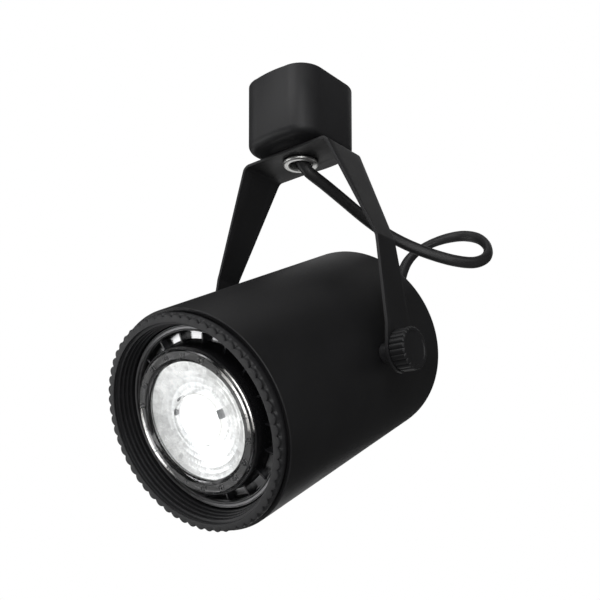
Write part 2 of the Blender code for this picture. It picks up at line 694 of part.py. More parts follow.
def build_bezel(head):
    """The screwed front ring: scalloped grip, flange, neck, and a stepped baffle inside."""
    grip = fluted_outline(GRIP_TEETH, GRIP_TIP, GRIP_VALLEY)
    mesh = outline_mesh("bezel_ring", grip, 61.9 * MM, BEZEL_FRONT)
    bezel = solid("bezel_ring", mesh, BLACK_PAINT, head)
    mouth = cylinder_mesh("bezel_mouth", BEZEL_LIP, 50 * MM, 70 * MM, 48)
    boolean(bezel, cutter("bezel_mouth", mouth, head))
    front, back = 64.1, 57.5
    wide, narrow = 34.0, 32.4
    groove = 0.7
    baffle = []
    for step in range(BAFFLE_STEPS):
        part = step / BAFFLE_STEPS
        height = front + (back - front) * part
        radius = wide + (narrow - wide) * part
        pitch = (front - back) / BAFFLE_STEPS
        baffle += [(radius, height), (radius, height - 0.4 * pitch)]
        baffle.append((radius + groove, height - 0.7 * pitch))
    flange = FLANGE_RADIUS / MM
    ledge = FLANGE_FRONT / MM
    body = [(35.7, front), (35.7, ledge + 0.2), (flange - 0.3, ledge), (flange, ledge - 0.3)]
    body += [(flange, 61.7), (37.1, 61.7), (37.1, 54.0), (33.2, 54.0), (33.2, back)]
    profile = body + list(reversed(baffle))
    core = turned_cutter("bezel_core", in_mm(profile), head)
    boolean(bezel, core, "UNION")
    smooth(bezel)


# --- lamp --------------------------------------------------------------------------------------


def fin_mesh():
    """Radial cooling fins, one for each step round the lamp."""
    outline = in_mm(
        [(24.3, 56.6), (28.9, 56.6), (28.9, 50.5), (17.6, 17.0), (15.6, 17.0), (24.3, 45.5)]
    )
    half = FIN_THICKNESS / 2
    joined = bmesh.new()
    for index in range(FIN_COUNT):
        fin = outline_mesh(f"fin_{index}", outline, -half, half, "XZ")
        fin.transform(Matrix.Rotation(FIN_OFFSET + 2 * math.pi * index / FIN_COUNT, 4, "Z"))
        joined.from_mesh(fin)
        bpy.data.meshes.remove(fin)
    mesh = bpy.data.meshes.new("lamp_fins")
    joined.to_mesh(mesh)
    joined.free()
    return mesh


def build_lamp_body(head):
    hub = [(0.0, 39.5), (22.6, 39.5), (23.4, 57.2), (26.0, 57.2), (27.4, 55.6), (27.0, 48.0)]
    hub += [(15.9, 14.4), (13.9, 14.4), (20.2, 36.5), (0.0, 36.5)]
    heatsink = turned_solid("lamp_heatsink", in_mm(hub), BLACK_ALUMINIUM, head, 36, closed=False)
    boolean(heatsink, cutter("lamp_fins", fin_mesh(), head), "UNION")
    smooth(heatsink)
    face = LAMP_FACE / MM
    outer = LAMP_RADIUS / MM
    back = face - RIM_DEPTH / MM
    rim = [(29.4, face - 0.6), (29.9, face), (outer - 0.3, face), (outer, face - 0.3)]
    rim += [(outer, face - 3.6), (outer - 0.5, back), (31.2, back), (31.2, face - 2.0)]
    rim.append((29.4, face - 2.0))
    turned_solid("lamp_rim", in_mm(rim), GREY_RIM, head, 40)
    neck = [(0.0, 14.0), (15.0, 14.0), (15.4, 12.5), (13.4, 7.0), (0.0, 7.0)]
    turned_solid("lamp_neck", in_mm(neck), BLACK_PLASTIC, head, 28, closed=False)


def build_lamp_base(head):
    cap = [(11.4, 6.6), (12.6, 6.6)]
    for thread in range(4):
        height = 3.6 - 4.4 * thread
        cap += [(12.3, height + 2.0), (13.0, height)]
    cap += [(12.2, -13.2), (9.8, -15.5), (4.0, -15.5), (4.0, -14.8), (9.2, -14.8), (11.4, -12.6)]
    turned_solid("lamp_screw_cap", in_mm(cap), NICKEL, head, 28)
    insulator = [(0.0, -15.9), (9.4, -15.9), (3.6, -18.6), (0.0, -18.6)]
    turned_solid("cap_insulator", in_mm(insulator), BLACK_PLASTIC, head, 24, closed=False)
    tip = [(0.0, -18.9), (3.0, -18.9), (3.0, -19.5), (1.8, -20.1), (0.0, -20.1)]
    turned_solid("tip_contact", in_mm(tip), BRASS, head, 16, closed=False)


def build_lamp_optics(head):
    ring = [(21.1, 57.5), (21.1, 61.2), (22.2, 62.1), (24.6, 62.2), (25.1, 61.6), (25.1, 57.5)]
    turned_solid("lens_ring", in_mm(ring), CLEAR, head, 36)
    lens = [(0.0, 61.3), (12.0, 61.1), (20.8, 60.6), (20.8, 59.4), (0.0, 59.4)]
    turned_solid("lamp_lens", in_mm(lens), CLEAR, head, 32, closed=False)
    cup = [(19.9, 59.1), (20.8, 59.1), (19.6, 57.3), (14.6, 55.9), (9.0, 55.4)]
    cup += [(8.7, 56.2), (14.2, 56.8), (18.8, 58.1)]
    turned_solid("reflector", in_mm(cup), MIRROR, head, 28)
    chip = [(0.0, 58.2), (5.0, 58.0), (7.8, 57.1), (8.2, 55.7), (5.6, 41.4), (12.0, 41.3)]
    chip += [(12.0, 39.8), (0.0, 39.8)]
    turned_solid("led_module", in_mm(chip), PHOSPHOR, head, 24, closed=False)


# --- cord --------------------------------------------------------------------------------------


def smooth_route(route, count):
    """Evenly spaced points on a smooth curve through the route's own points."""
    route = [Vector(point) for point in route]
    padded = [2 * route[0] - route[1]] + route + [2 * route[-1] - route[-2]]
    fine = []
    for before, start, end, after in zip(padded, padded[1:], padded[2:], padded[3:]):
        for step in range(12):
            t = step / 12
            square = 2 * before - 5 * start + 4 * end - after
            cube = 3 * start - before - 3 * end + after
            fine.append(0.5 * (2 * start + (end - before) * t + square * t * t + cube * t**3))
    fine.append(route[-1])
    lengths = [0.0]
    for first, second in zip(fine, fine[1:]):
        lengths.append(lengths[-1] + (second - first).length)
    points = []
    place = 0
    for index in range(count):
        target = lengths[-1] * index / (count - 1)
        while place < len(fine) - 2 and lengths[place + 1] < target:
            place += 1
        part = (target - lengths[place]) / (lengths[place + 1] - lengths[place])
        points.append(fine[place].lerp(fine[place + 1], part))
    return points


def build_cord(pivot):
    curve = bpy.data.curves.new("cord", "CURVE")
    curve.dimensions = "3D"
    curve.bevel_depth = CORD_DIAMETER / 2
    curve.bevel_resolution = 2
    curve.use_fill_caps = True
    route = [Vector(point) * MM for point in CORD_ROUTE]
    points = smooth_route(route, CORD_POINTS)
    spline = curve.splines.new("POLY")
    spline.points.add(len(points) - 1)
    for control, point in zip(spline.points, points):
        control.co = (point.x, point.y, point.z - PLATE_TOP_Z, 1.0)
    cord = bpy.data.objects.new("cord", curve)
    parts.objects.link(cord)
    cord.parent = pivot
    curve.materials.append(make_material("cord", *BLACK_RUBBER))


clear_scene()
parts = new_collection("track_spotlight")
cutters = new_collection("track_spotlight_cutters")

build_adapter_housing()
build_adapter_lid()
build_lid_screws()
build_contacts()
build_terminal_block()
build_release_latch()
build_release_spring()
build_swivel()

pan_pivot = build_yoke()
build_cord(pan_pivot)

tilt_pivot = empty("tilt_pivot", (0.0, 0.0, TILT_Z), (math.pi / 2 + REST_TILT, 0.0, 0.0))
build_can(tilt_pivot)
build_gland(tilt_pivot)
build_lampholder(tilt_pivot)
build_pivots(tilt_pivot)
build_knobs(tilt_pivot)
build_bezel(tilt_pivot)
build_lamp_body(tilt_pivot)
build_lamp_base(tilt_pivot)
build_lamp_optics(tilt_pivot)
bpy.context.view_layer.update()
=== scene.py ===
"""Track spotlight: the looks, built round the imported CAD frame.

Every piece is modelled in one of two frames. World pieces use the row's own axes. Head pieces use
the can's: +Z forward along the can, +Y up, +X along the tilt axis, from where the two axes cross.
Lengths in the piece functions are in millimetres, and the mesh helpers turn them into metres.
"""

import bisect
import json
import math
import random

import bmesh
import bpy
from mathutils import Matrix, Vector


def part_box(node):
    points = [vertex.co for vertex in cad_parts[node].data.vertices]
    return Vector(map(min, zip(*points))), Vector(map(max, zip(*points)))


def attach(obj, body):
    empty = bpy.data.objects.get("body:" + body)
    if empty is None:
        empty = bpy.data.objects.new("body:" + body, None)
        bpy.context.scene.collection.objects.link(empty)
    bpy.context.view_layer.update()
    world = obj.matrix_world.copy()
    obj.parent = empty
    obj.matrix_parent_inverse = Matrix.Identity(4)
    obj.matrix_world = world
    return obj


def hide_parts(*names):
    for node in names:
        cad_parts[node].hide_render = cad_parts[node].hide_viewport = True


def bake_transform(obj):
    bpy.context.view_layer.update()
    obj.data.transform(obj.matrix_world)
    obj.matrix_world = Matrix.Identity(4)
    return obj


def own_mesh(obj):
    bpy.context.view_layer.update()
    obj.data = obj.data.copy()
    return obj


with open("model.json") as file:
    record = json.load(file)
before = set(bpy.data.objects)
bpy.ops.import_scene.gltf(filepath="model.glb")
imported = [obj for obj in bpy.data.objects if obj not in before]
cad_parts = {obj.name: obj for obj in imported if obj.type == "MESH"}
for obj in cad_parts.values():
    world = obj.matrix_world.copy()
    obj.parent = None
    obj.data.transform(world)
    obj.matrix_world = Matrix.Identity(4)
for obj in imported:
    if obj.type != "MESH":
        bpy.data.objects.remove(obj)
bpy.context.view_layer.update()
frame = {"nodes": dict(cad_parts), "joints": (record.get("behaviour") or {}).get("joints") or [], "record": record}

MM = 0.001
JOINTS = {joint["name"]: joint for joint in frame["joints"]}

# --- the frame's own places ---

TILT_PLACE = Vector(JOINTS["tilt"]["pos_m"])
TILT_AXIS = Vector(JOINTS["tilt"]["axis"]).normalized()
FORWARD = Vector(JOINTS["bezel_turn"]["axis"]).normalized()
WORLD = Matrix.Identity(4)
UP = Vector((0.0, 0.0, 1.0))
UPRIGHT = Matrix.Rotation(math.pi / 2, 4, "X")


def frame_of(place, across, ahead):
    """A matrix whose X is across, whose Z is ahead and whose origin is at place."""
    up = ahead.cross(across)
    turn = Matrix((across, up, ahead)).transposed().to_4x4()
    return Matrix.Translation(place) @ turn


HEAD = frame_of(TILT_PLACE, TILT_AXIS, FORWARD)


def shift(x, y, z):
    """A move by so many millimetres."""
    return Matrix.Translation(Vector((x, y, z)) * MM)


def spin(angle, axis="Z"):
    return Matrix.Rotation(angle, 4, axis)


def extent(node, matrix):
    """A CAD node's lowest z, highest z and largest radius about Z, in mm, in that matrix's frame."""
    back = matrix.inverted()
    points = [back @ vert.co for vert in frame["nodes"][node].data.vertices]
    heights = [point.z / MM for point in points]
    reach = max(math.hypot(point.x, point.y) for point in points) / MM
    return min(heights), max(heights), reach


# --- camera ---

CAMERA_PLACE = Vector((0.21556, -0.25598, -0.19665))
CAMERA_AZIMUTH = 40.16
CAMERA_PITCH = 17.10
CAMERA_ROLL = -0.09
CAMERA_LENS = 53.02


def make_camera():
    data = bpy.data.cameras.new("camera")
    data.lens = CAMERA_LENS
    data.sensor_width = 36.0
    data.clip_start = 0.01
    data.clip_end = 50.0
    camera = new_object("camera", data)
    camera.location = CAMERA_PLACE
    turn = Matrix.Rotation(math.radians(CAMERA_AZIMUTH), 3, "Z")
    tip = Matrix.Rotation(math.radians(90 + CAMERA_PITCH), 3, "X")
    roll = Matrix.Rotation(math.radians(CAMERA_ROLL), 3, "Z")
    camera.rotation_euler = (turn @ tip @ roll).to_euler()
    bpy.context.scene.camera = camera


# --- material graphs ---


class Graph:
    """A material's node tree, with one method that adds a node and fills its inputs."""

    def __init__(self, name):
        self.material = bpy.data.materials.new(name)
        self.material.use_nodes = True
        self.tree = self.material.node_tree
        self.shader = self.tree.nodes["Principled BSDF"]
        self.object_place = self.add("ShaderNodeTexCoord").outputs["Object"]

    def add(self, kind, inputs=None, **settings):
        node = self.tree.nodes.new(kind)
        for key, value in settings.items():
            setattr(node, key, value)
        for key, value in (inputs or {}).items():
            self.fill(node.inputs[key], value)
        return node

    def fill(self, socket, value):
        if isinstance(value, bpy.types.NodeSocket):
            self.tree.links.new(value, socket)
        else:
            socket.default_value = value

    def shade(self, **inputs):
        for key, value in inputs.items():
            self.fill(self.shader.inputs[key.replace("_", " ")], value)

    def noise(self, scale, detail=3.0, rough=0.55, place=None, stretch=(1.0, 1.0, 1.0)):
        """A noise whose cells are about 1/scale metres across."""
        place = place or self.object_place
        if stretch != (1.0, 1.0, 1.0):
            mapping = self.add("ShaderNodeMapping", {"Vector": place, "Scale": stretch})
            place = mapping.outputs["Vector"]
        inputs = {"Vector": place, "Scale": scale, "Detail": detail, "Roughness": rough}
        return self.add("ShaderNodeTexNoise", inputs).outputs["Fac"]

    def math(self, operation, first, second=0.0):
        node = self.add("ShaderNodeMath", {0: first, 1: second}, operation=operation)
        return node.outputs["Value"]

    def span(self, value, low, high, to_low=0.0, to_high=1.0):
        """The value, moved from the range low to high to the range to_low to to_high."""
        inputs = {"Value": value, "From Min": low, "From Max": high}
        inputs |= {"To Min": to_low, "To Max": to_high}
        return self.add("ShaderNodeMapRange", inputs).outputs["Result"]

    def mix(self, factor, first, second):
        """A colour between two, each a socket or a tuple. A Mix node's colours are its inputs 6 and 7."""
        node = self.add("ShaderNodeMix", data_type="RGBA")
        self.fill(node.inputs["Factor"], factor)
        for key, value in ((6, first), (7, second)):
            self.fill(node.inputs[key], (*value[:3], 1.0) if isinstance(value, tuple) else value)
        return node.outputs[2]

    def vary(self, noise, low, high):
        """Runs from low to high, two values or two colours, over most of a noise's own range."""
        if isinstance(low, tuple):
            return self.mix(self.span(noise, 0.3, 0.7), low, high)
        return self.span(noise, 0.3, 0.7, low, high)

    def surface(self, tone, shine, height, depth_mm, **inputs):
        """Fills in colour, roughness and bump, and gives back the material."""
        relief = {"Height": height, "Distance": depth_mm * MM, "Strength": 1.0}
        normal = self.add("ShaderNodeBump", relief).outputs["Normal"]
        self.shade(Base_Color=tone, Roughness=shine, Normal=normal, **inputs)
        return self.material

    def radius(self):
        """Distance from the piece's own Z axis, in metres."""
        parts = self.add("ShaderNodeSeparateXYZ", {0: self.object_place})
        x_squared = self.math("MULTIPLY", parts.outputs["X"], parts.outputs["X"])
        y_squared = self.math("MULTIPLY", parts.outputs["Y"], parts.outputs["Y"])
        return self.math("SQRT", self.math("ADD", x_squared, y_squared))

    def edges(self):
        """1 along convex edges, 0 on flat faces, whose pointiness is 0.5."""
        pointiness = self.add("ShaderNodeNewGeometry").outputs["Pointiness"]
        return self.span(pointiness, 0.51, 0.6)


# In mm: the lathe's rings on turned metal, and the dome of the lamp's light source
RING_PITCH = 0.12
DOME_RADIUS = 8.6


def scaled(colour, factor):
    return tuple(min(1.0, channel * factor) for channel in colour)


def coated(name, colour, roughness, grain_mm, grain_depth, worn=1.8):
    """Paint, coat or moulded plastic: cloudy tone, a fine grain, and lighter rubbed edges."""
    graph = Graph(name)
    clouds = graph.noise(45.0, 4.0)
    grain = graph.noise(1.0 / (grain_mm * MM), 2.0, 0.6)
    fine = graph.noise(2.6 / (grain_mm * MM), 1.0, 0.5)
    tone = graph.vary(clouds, scaled(colour, 0.82), scaled(colour, 1.18))
    speck = graph.span(fine, 0.62, 0.78, 0.0, 0.35)
    tone = graph.mix(speck, tone, scaled(colour, 1.7))
    rubbed = graph.math("MULTIPLY", graph.edges(), graph.span(clouds, 0.35, 0.6, 0.3, 1.0))
    tone = graph.mix(graph.math("MULTIPLY", rubbed, 0.6), tone, scaled(colour, worn))
    shine = graph.span(clouds, 0.25, 0.75, roughness - 0.05, roughness + 0.05)
    shine = graph.math("ADD", shine, graph.vary(grain, -0.03, 0.03))
    height = graph.math("ADD", grain, graph.math("MULTIPLY", fine, 0.35))
    return graph.surface(tone, shine, height, grain_depth)


def turned_metal(name, colour, roughness):
    """Plated or bare metal with the fine rings that a lathe or a polishing wheel leaves."""
    graph = Graph(name)
    radius = graph.radius()
    parts = graph.add("ShaderNodeSeparateXYZ", {0: graph.object_place})
    along = graph.add("ShaderNodeCombineXYZ", {"X": radius, "Y": parts.outputs["Z"]})
    rings = graph.noise(1.0 / (RING_PITCH * MM), 3.0, 0.6, along.outputs["Vector"])
    smudge = graph.noise(220.0, 3.0)
    tone = graph.vary(smudge, scaled(colour, 0.86), scaled(colour, 1.06))
    shine = graph.vary(rings, roughness * 0.75, roughness * 1.25)
    shine = graph.math("ADD", shine, graph.vary(smudge, -0.03, 0.05))
    return graph.surface(tone, shine, rings, 0.004, Metallic=1.0)


def plated(name, colour, roughness):
    """Stamped or plated metal with a cloudy finish."""
    graph = Graph(name)
    clouds = graph.noise(160.0, 4.0)
    grain = graph.noise(2000.0, 3.0)
    streaks = graph.noise(900.0, 2.0, stretch=(1.0, 0.08, 1.0))
    tone = graph.vary(clouds, scaled(colour, 0.8), scaled(colour, 1.1))
    shine = graph.vary(clouds, roughness - 0.06, roughness + 0.08)
    shine = graph.math("ADD", shine, graph.vary(streaks, -0.04, 0.04))
    return graph.surface(tone, shine, grain, 0.006, Metallic=1.0)


def ceramic(name):
    graph = Graph(name)
    clouds = graph.noise(90.0, 3.0)
    pits = graph.noise(1500.0, 1.0)
    tone = graph.vary(clouds, (0.80, 0.79, 0.74), (0.88, 0.87, 0.84))
    tone = graph.mix(graph.span(pits, 0.72, 0.8, 0.0, 0.5), tone, (0.45, 0.42, 0.36))
    shine = graph.vary(clouds, 0.22, 0.38)
    return graph.surface(tone, shine, pits, 0.02)


def cord_sheath(name):
    """Soft black vinyl, slightly greasy, with faint draw lines and scuffs."""
    graph = Graph(name)
    clouds = graph.noise(120.0, 4.0)
    scuff = graph.noise(700.0, 3.0, 0.7)
    grain = graph.noise(2400.0, 2.0)
    tone = graph.vary(clouds, (0.02, 0.02, 0.021), (0.03, 0.03, 0.031))
    tone = graph.mix(graph.span(scuff, 0.62, 0.8, 0.0, 0.5), tone, (0.04, 0.04, 0.041))
    shine = graph.span(clouds, 0.25, 0.75, 0.36, 0.5)
    return graph.surface(tone, shine, grain, 0.012)


def clear_plastic(name, roughness, tint):
    """Clear moulded plastic: slight flow marks and a hair of haze."""
    graph = Graph(name)
    flow = graph.noise(260.0, 3.0)
    haze = graph.noise(900.0, 2.0)
    tone = graph.vary(flow, scaled(tint, 0.97), tint)
    shine = graph.vary(haze, roughness * 0.5, roughness * 1.6)
    return graph.surface(tone, shine, flow, 0.02, Transmission_Weight=1.0, IOR=1.49)


def faceted_mirror_with_painted_glow(name):
    """The reflector: metal with a painted glow, emission that stands in for the lamp's light reflected off it,
    each facet a little differently.

    The painted glow is weaker towards the bowl's left side, a painted shade.
    """
    graph = Graph(name)
    facet = graph.add("ShaderNodeAttribute", attribute_name="facet").outputs["Fac"]
    stain_and_glow_noise = graph.noise(420.0, 3.0)
    tone = graph.vary(stain_and_glow_noise, (0.4, 0.4, 0.41), (0.55, 0.55, 0.54))
    parts = graph.add("ShaderNodeSeparateXYZ", {0: graph.object_place})
    # Painted shade: the glow is dimmed towards the bowl's left side
    side = graph.span(parts.outputs["X"], -20.0 * MM, -4.0 * MM, 0.72, 1.0)
    # Painted glow: emission standing in for the lamp's light off each facet, varied by the facet's random number
    # and the stain noise
    glow = graph.math("MULTIPLY", graph.span(facet, 0.0, 0.7, 0.55, 0.78), side)
    glow = graph.math("MULTIPLY", glow, graph.vary(stain_and_glow_noise, 0.85, 1.05))
    graph.shade(Base_Color=tone, Roughness=graph.vary(stain_and_glow_noise, 0.16, 0.3))
    graph.shade(Emission_Color=(1.0, 0.99, 0.97, 1.0), Emission_Strength=glow, Metallic=1.0)
    return graph.material


def lit_phosphor(name):
    """The light source: it shines across its dome and only faintly on its collar."""
    graph = Graph(name)
    cells = graph.add("ShaderNodeTexVoronoi", {"Vector": graph.object_place, "Scale": 900.0})
    tone = graph.mix(cells.outputs["Distance"], (1.0, 0.99, 0.95), (0.97, 0.95, 0.88))
    strength = graph.span(graph.radius(), (DOME_RADIUS - 0.7) * MM, DOME_RADIUS * MM, 2.6, 0.25)
    graph.shade(Base_Color=tone, Roughness=graph.span(cells.outputs["Distance"], 0.0, 1.0, 0.3, 0.5))
    graph.shade(Emission_Color=(1.0, 0.995, 0.98, 1.0), Emission_Strength=strength)
    return graph.material


BLACK = (0.0125, 0.0125, 0.0135)
# For each slot, the function that makes its material and what that function is told
LOOKS = {
    "black_paint": (coated, BLACK, 0.46, 0.55, 0.016),
    "black_plastic": (coated, scaled(BLACK, 1.6), 0.5, 0.4, 0.014),
    "bezel_plastic": (coated, scaled(BLACK, 1.8), 0.48, 0.4, 0.01),
    "knob_plastic": (coated, scaled(BLACK, 1.15), 0.42, 0.35, 0.01),
    "black_rubber": (coated, scaled(BLACK, 1.3), 0.62, 0.3, 0.014, 2.2),
    "cord_sheath": (cord_sheath,),
    "nickel": (turned_metal, (0.93, 0.93, 0.91), 0.36),
    "zinc_steel": (plated, (0.6, 0.6, 0.61), 0.34),
    "shell_brass": (plated, (0.76, 0.58, 0.3), 0.28),
    "contact_copper": (plated, (0.8, 0.47, 0.31), 0.26),
    "white_ceramic": (ceramic,),
    "grey_plastic": (coated, (0.3, 0.3, 0.31), 0.48, 0.35, 0.01, 1.3),
    "nylon": (coated, (0.72, 0.71, 0.66), 0.5, 0.4, 0.01, 1.1),
    "black_aluminium": (coated, (0.008, 0.008, 0.009), 0.24, 0.6, 0.02, 8.0),
    "grey_rim": (turned_metal, (0.26, 0.26, 0.265), 0.42),
    "bare_aluminium": (turned_metal, (0.34, 0.34, 0.345), 0.2),
    "clear_plastic": (clear_plastic, 0.06, (0.95, 0.97, 0.98)),
    "smoky_plastic": (clear_plastic, 0.1, (0.4, 0.4, 0.41)),
    "tab_plastic": (clear_plastic, 0.2, (0.72, 0.72, 0.73)),
    # The reflector's material carries a painted glow and a painted shade on its left side
    "reflector_mirror": (faceted_mirror_with_painted_glow,),
    "led_phosphor": (lit_phosphor,),
}


def make_materials():
    return {name: make(name, *values) for name, (make, *values) in LOOKS.items()}


# --- mesh building ---

NEARLY_STRAIGHT = math.radians(176)


def rounded(points, radius=0.3, closed=True, step=18.0):
    """A polyline whose corners become arcs. A point may give a radius of its own as a third number.

    An arc takes up less than half of each side, and has a point every step degrees.
    """
    count = len(points)
    path = []
    for index, point in enumerate(points):
        corner = Vector(point[:2])
        wanted = point[2] if len(point) > 2 else radius
        at_end = not closed and index in (0, count - 1)
        before = Vector(points[index - 1][:2]) - corner
        after = Vector(points[(index + 1) % count][:2]) - corner
        if at_end or wanted <= 0 or before.length < 1e-6 or after.length < 1e-6:
            path.append(tuple(corner))
            continue
        opening = before.angle(after)
        if opening > NEARLY_STRAIGHT:
            path.append(tuple(corner))
            continue
        reach = min(wanted / math.tan(opening / 2), before.length * 0.48, after.length * 0.48)
        size = reach * math.tan(opening / 2)
        towards = (before.normalized() + after.normalized()).normalized()
        centre = corner + towards * size / math.sin(opening / 2)
        start = corner + before.normalized() * reach - centre
        end = corner + after.normalized() * reach - centre
        sweep = math.atan2(start.cross(end), start.dot(end))
        steps = max(2, math.ceil(abs(math.degrees(sweep)) / step))
        for number in range(steps + 1):
            turned = Matrix.Rotation(sweep * number / steps, 2) @ start
            path.append(tuple(centre + turned))
    return path


def between(value, inputs, outputs):
    """The output that a value stands for, on straight lines between rising inputs."""
    index = min(max(bisect.bisect_left(inputs, value), 1), len(inputs) - 1)
    part = (value - inputs[index - 1]) / (inputs[index] - inputs[index - 1])
    return outputs[index - 1] + (outputs[index] - outputs[index - 1]) * part


def distances(points):
    """How far along a line each of its points is."""
    lengths = [0.0]
    for first, second in zip(points, points[1:]):
        lengths.append(lengths[-1] + math.dist(first, second))
    return lengths


def new_object(name, data, matrix=WORLD):
    obj = bpy.data.objects.new(name, data)
    bpy.context.scene.collection.objects.link(obj)
    obj.matrix_world = matrix
    return obj


def to_mesh(name, shape):
    bmesh.ops.recalc_face_normals(shape, faces=shape.faces)
    mesh = bpy.data.meshes.new(name)
    shape.to_mesh(mesh)
    shape.free()
    return mesh


def join_rings(shape, first, second):
    """Faces between two rings of vertices. A ring of one vertex is a point on the axis."""
    if len(first) == 1 and len(second) == 1:
        return
    count = max(len(first), len(second))
    for number in range(count):
        after = (number + 1) % count
        corners = [first[number % len(first)], first[after % len(first)]]
        corners += [second[after % len(second)], second[number % len(second)]]
        unique = list(dict.fromkeys(corners))
        if len(unique) > 2:
            shape.faces.new(unique)


def skin(name, loops, matrix=WORLD, closed=False):
    """A surface over a stack of loops in mm. Its two ends are capped, or join each other."""
    shape = bmesh.new()
    rings = [[shape.verts.new(Vector(point) * MM) for point in loop] for loop in loops]
    for first, second in zip(rings, rings[1:]):
        join_rings(shape, first, second)
    if closed:
        join_rings(shape, rings[-1], rings[0])
    else:
        for ring in (rings[0], rings[-1]):
            if len(ring) > 2:
                shape.faces.new(ring)
    return new_object(name, to_mesh(name, shape), matrix)


def revolve(name, profile, segments, matrix=WORLD, closed=True, wave=None):
    """Turns a (radius, height) profile in mm about Z. wave(radius, height, angle) changes the radius."""
    loops = []
    for radius, height in profile:
        if radius < 1e-4:
            loops.append([(0.0, 0.0, height)])
            continue
        loop = []
        for number in range(segments):
            angle = 2 * math.pi * number / segments
            reach = wave(radius, height, angle) if wave else radius
            loop.append((reach * math.cos(angle), reach * math.sin(angle), height))
        loops.append(loop)
    return skin(name, loops, matrix, closed)


def filled(name, outlines):
    """A flat mesh in the XY plane from closed outlines in mm: the first is the edge, the rest are holes."""
    curve = bpy.data.curves.new(name, "CURVE")
    curve.dimensions = "2D"
    curve.fill_mode = "BOTH"
    for outline in outlines:
        spline = curve.splines.new("POLY")
        spline.points.add(len(outline) - 1)
        for point, (u, v) in zip(spline.points, outline):
            point.co = (u * MM, v * MM, 0.0, 1.0)
        spline.use_cyclic_u = True
    guide = new_object(name, curve)
    graph = bpy.context.evaluated_depsgraph_get()
    mesh = bpy.data.meshes.new_from_object(guide.evaluated_get(graph))
    bpy.data.objects.remove(guide)
    bpy.data.curves.remove(curve)
    shape = bmesh.new()
    shape.from_mesh(mesh)
    bmesh.ops.remove_doubles(shape, verts=shape.verts, dist=1e-7)
    shape.to_mesh(mesh)
    shape.free()
    return mesh


def slab(name, outlines, low, high, matrix=WORLD, edge=0.25):
    """A flat outline with holes, from low to high along Z, with rounded edges."""
    mesh = filled(name, outlines)
    shape = bmesh.new()
    shape.from_mesh(mesh)
    bmesh.ops.translate(shape, vec=(0.0, 0.0, low * MM), verts=shape.verts)
    grown = bmesh.ops.extrude_face_region(shape, geom=list(shape.faces))
    verts = [item for item in grown["geom"] if isinstance(item, bmesh.types.BMVert)]
    bmesh.ops.translate(shape, vec=(0.0, 0.0, (high - low) * MM), verts=verts)
    bpy.data.meshes.remove(mesh)
    obj = new_object(name, to_mesh(name, shape), matrix)
    bevel(obj, edge)
    return obj


def bevel(obj, width, segments=2, angle=35.0):
    modifier = obj.modifiers.new("edges", "BEVEL")
    modifier.width = width * MM
    modifier.segments = segments
    modifier.limit_method = "ANGLE"
    modifier.angle_limit = math.radians(angle)


def cut(obj, *tools):
    """Takes the tools' shapes out of the piece and removes them."""
    for tool in tools:
        modifier = obj.modifiers.new(f"cut {tool.name}", "BOOLEAN")
        modifier.solver = "EXACT"
        modifier.operation = "DIFFERENCE"
        modifier.object = tool
    apply_modifiers(obj)
    for tool in tools:
        bpy.data.objects.remove(tool)


def apply_modifiers(obj):
    bpy.context.view_layer.update()
    graph = bpy.context.evaluated_depsgraph_get()
    mesh = bpy.data.meshes.new_from_object(obj.evaluated_get(graph))
    obj.modifiers.clear()
    obj.data = mesh


def smooth(obj, angle=32.0):
    """Applies what modifiers there are, then shades smooth with crisp edges past that angle."""
    if obj.modifiers:
        apply_modifiers(obj)
    obj.data.shade_smooth()
    obj.data.set_sharp_from_angle(angle=math.radians(angle))


def merge(name, objects):
    """Joins pieces that share a frame into one object."""
    shape = bmesh.new()
    matrix = objects[0].matrix_world.copy()
    for obj in objects:
        if obj.modifiers:
            apply_modifiers(obj)
        shape.from_mesh(obj.data)
        bpy.data.objects.remove(obj)
    mesh = bpy.data.meshes.new(name)
    shape.to_mesh(mesh)
    shape.free()
    return new_object(name, mesh, matrix)


def circle(radius, count, centre=(0.0, 0.0)):
    points = []
    for number in range(count):
        angle = 2 * math.pi * number / count
        points.append((centre[0] + radius * math.cos(angle), centre[1] + radius * math.sin(angle)))
    return points


def rectangle(half_x, half_y, radius=0.4, centre=(0.0, 0.0)):
    corners = [(half_x, half_y), (-half_x, half_y), (-half_x, -half_y), (half_x, -half_y)]
    return rounded([(centre[0] + x, centre[1] + y) for x, y in corners], radius)


def block(name, half, centre, matrix=WORLD, edge=0.2):
    """A box with rounded edges, in mm."""
    outline = rectangle(half[0], half[1], edge)
    return slab(name, [outline], -half[2], half[2], matrix @ shift(*centre), edge)


def settle(obj, turn, matrix=WORLD):
    """Applies a piece's modifiers, turns its mesh within its frame, and sets the frame."""
    apply_modifiers(obj)
    obj.data.transform(turn)
    obj.matrix_world = matrix
    return obj


def mirrored(points):
    """The points in reverse order on the other side of the middle, with their corner radii."""
    return [(-point[0], *point[1:]) for point in reversed(points)]


def dress(obj, slot_name, body, *nodes, angle=32.0):
    """Smooths a piece, gives it its material and its body, and hides the CAD nodes that it stands for."""
    smooth(obj, angle)
    obj.data.materials.clear()
    obj.data.materials.append(materials[slot_name])
    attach(obj, body)
    if nodes:
        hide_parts(*nodes)


# --- cord ---

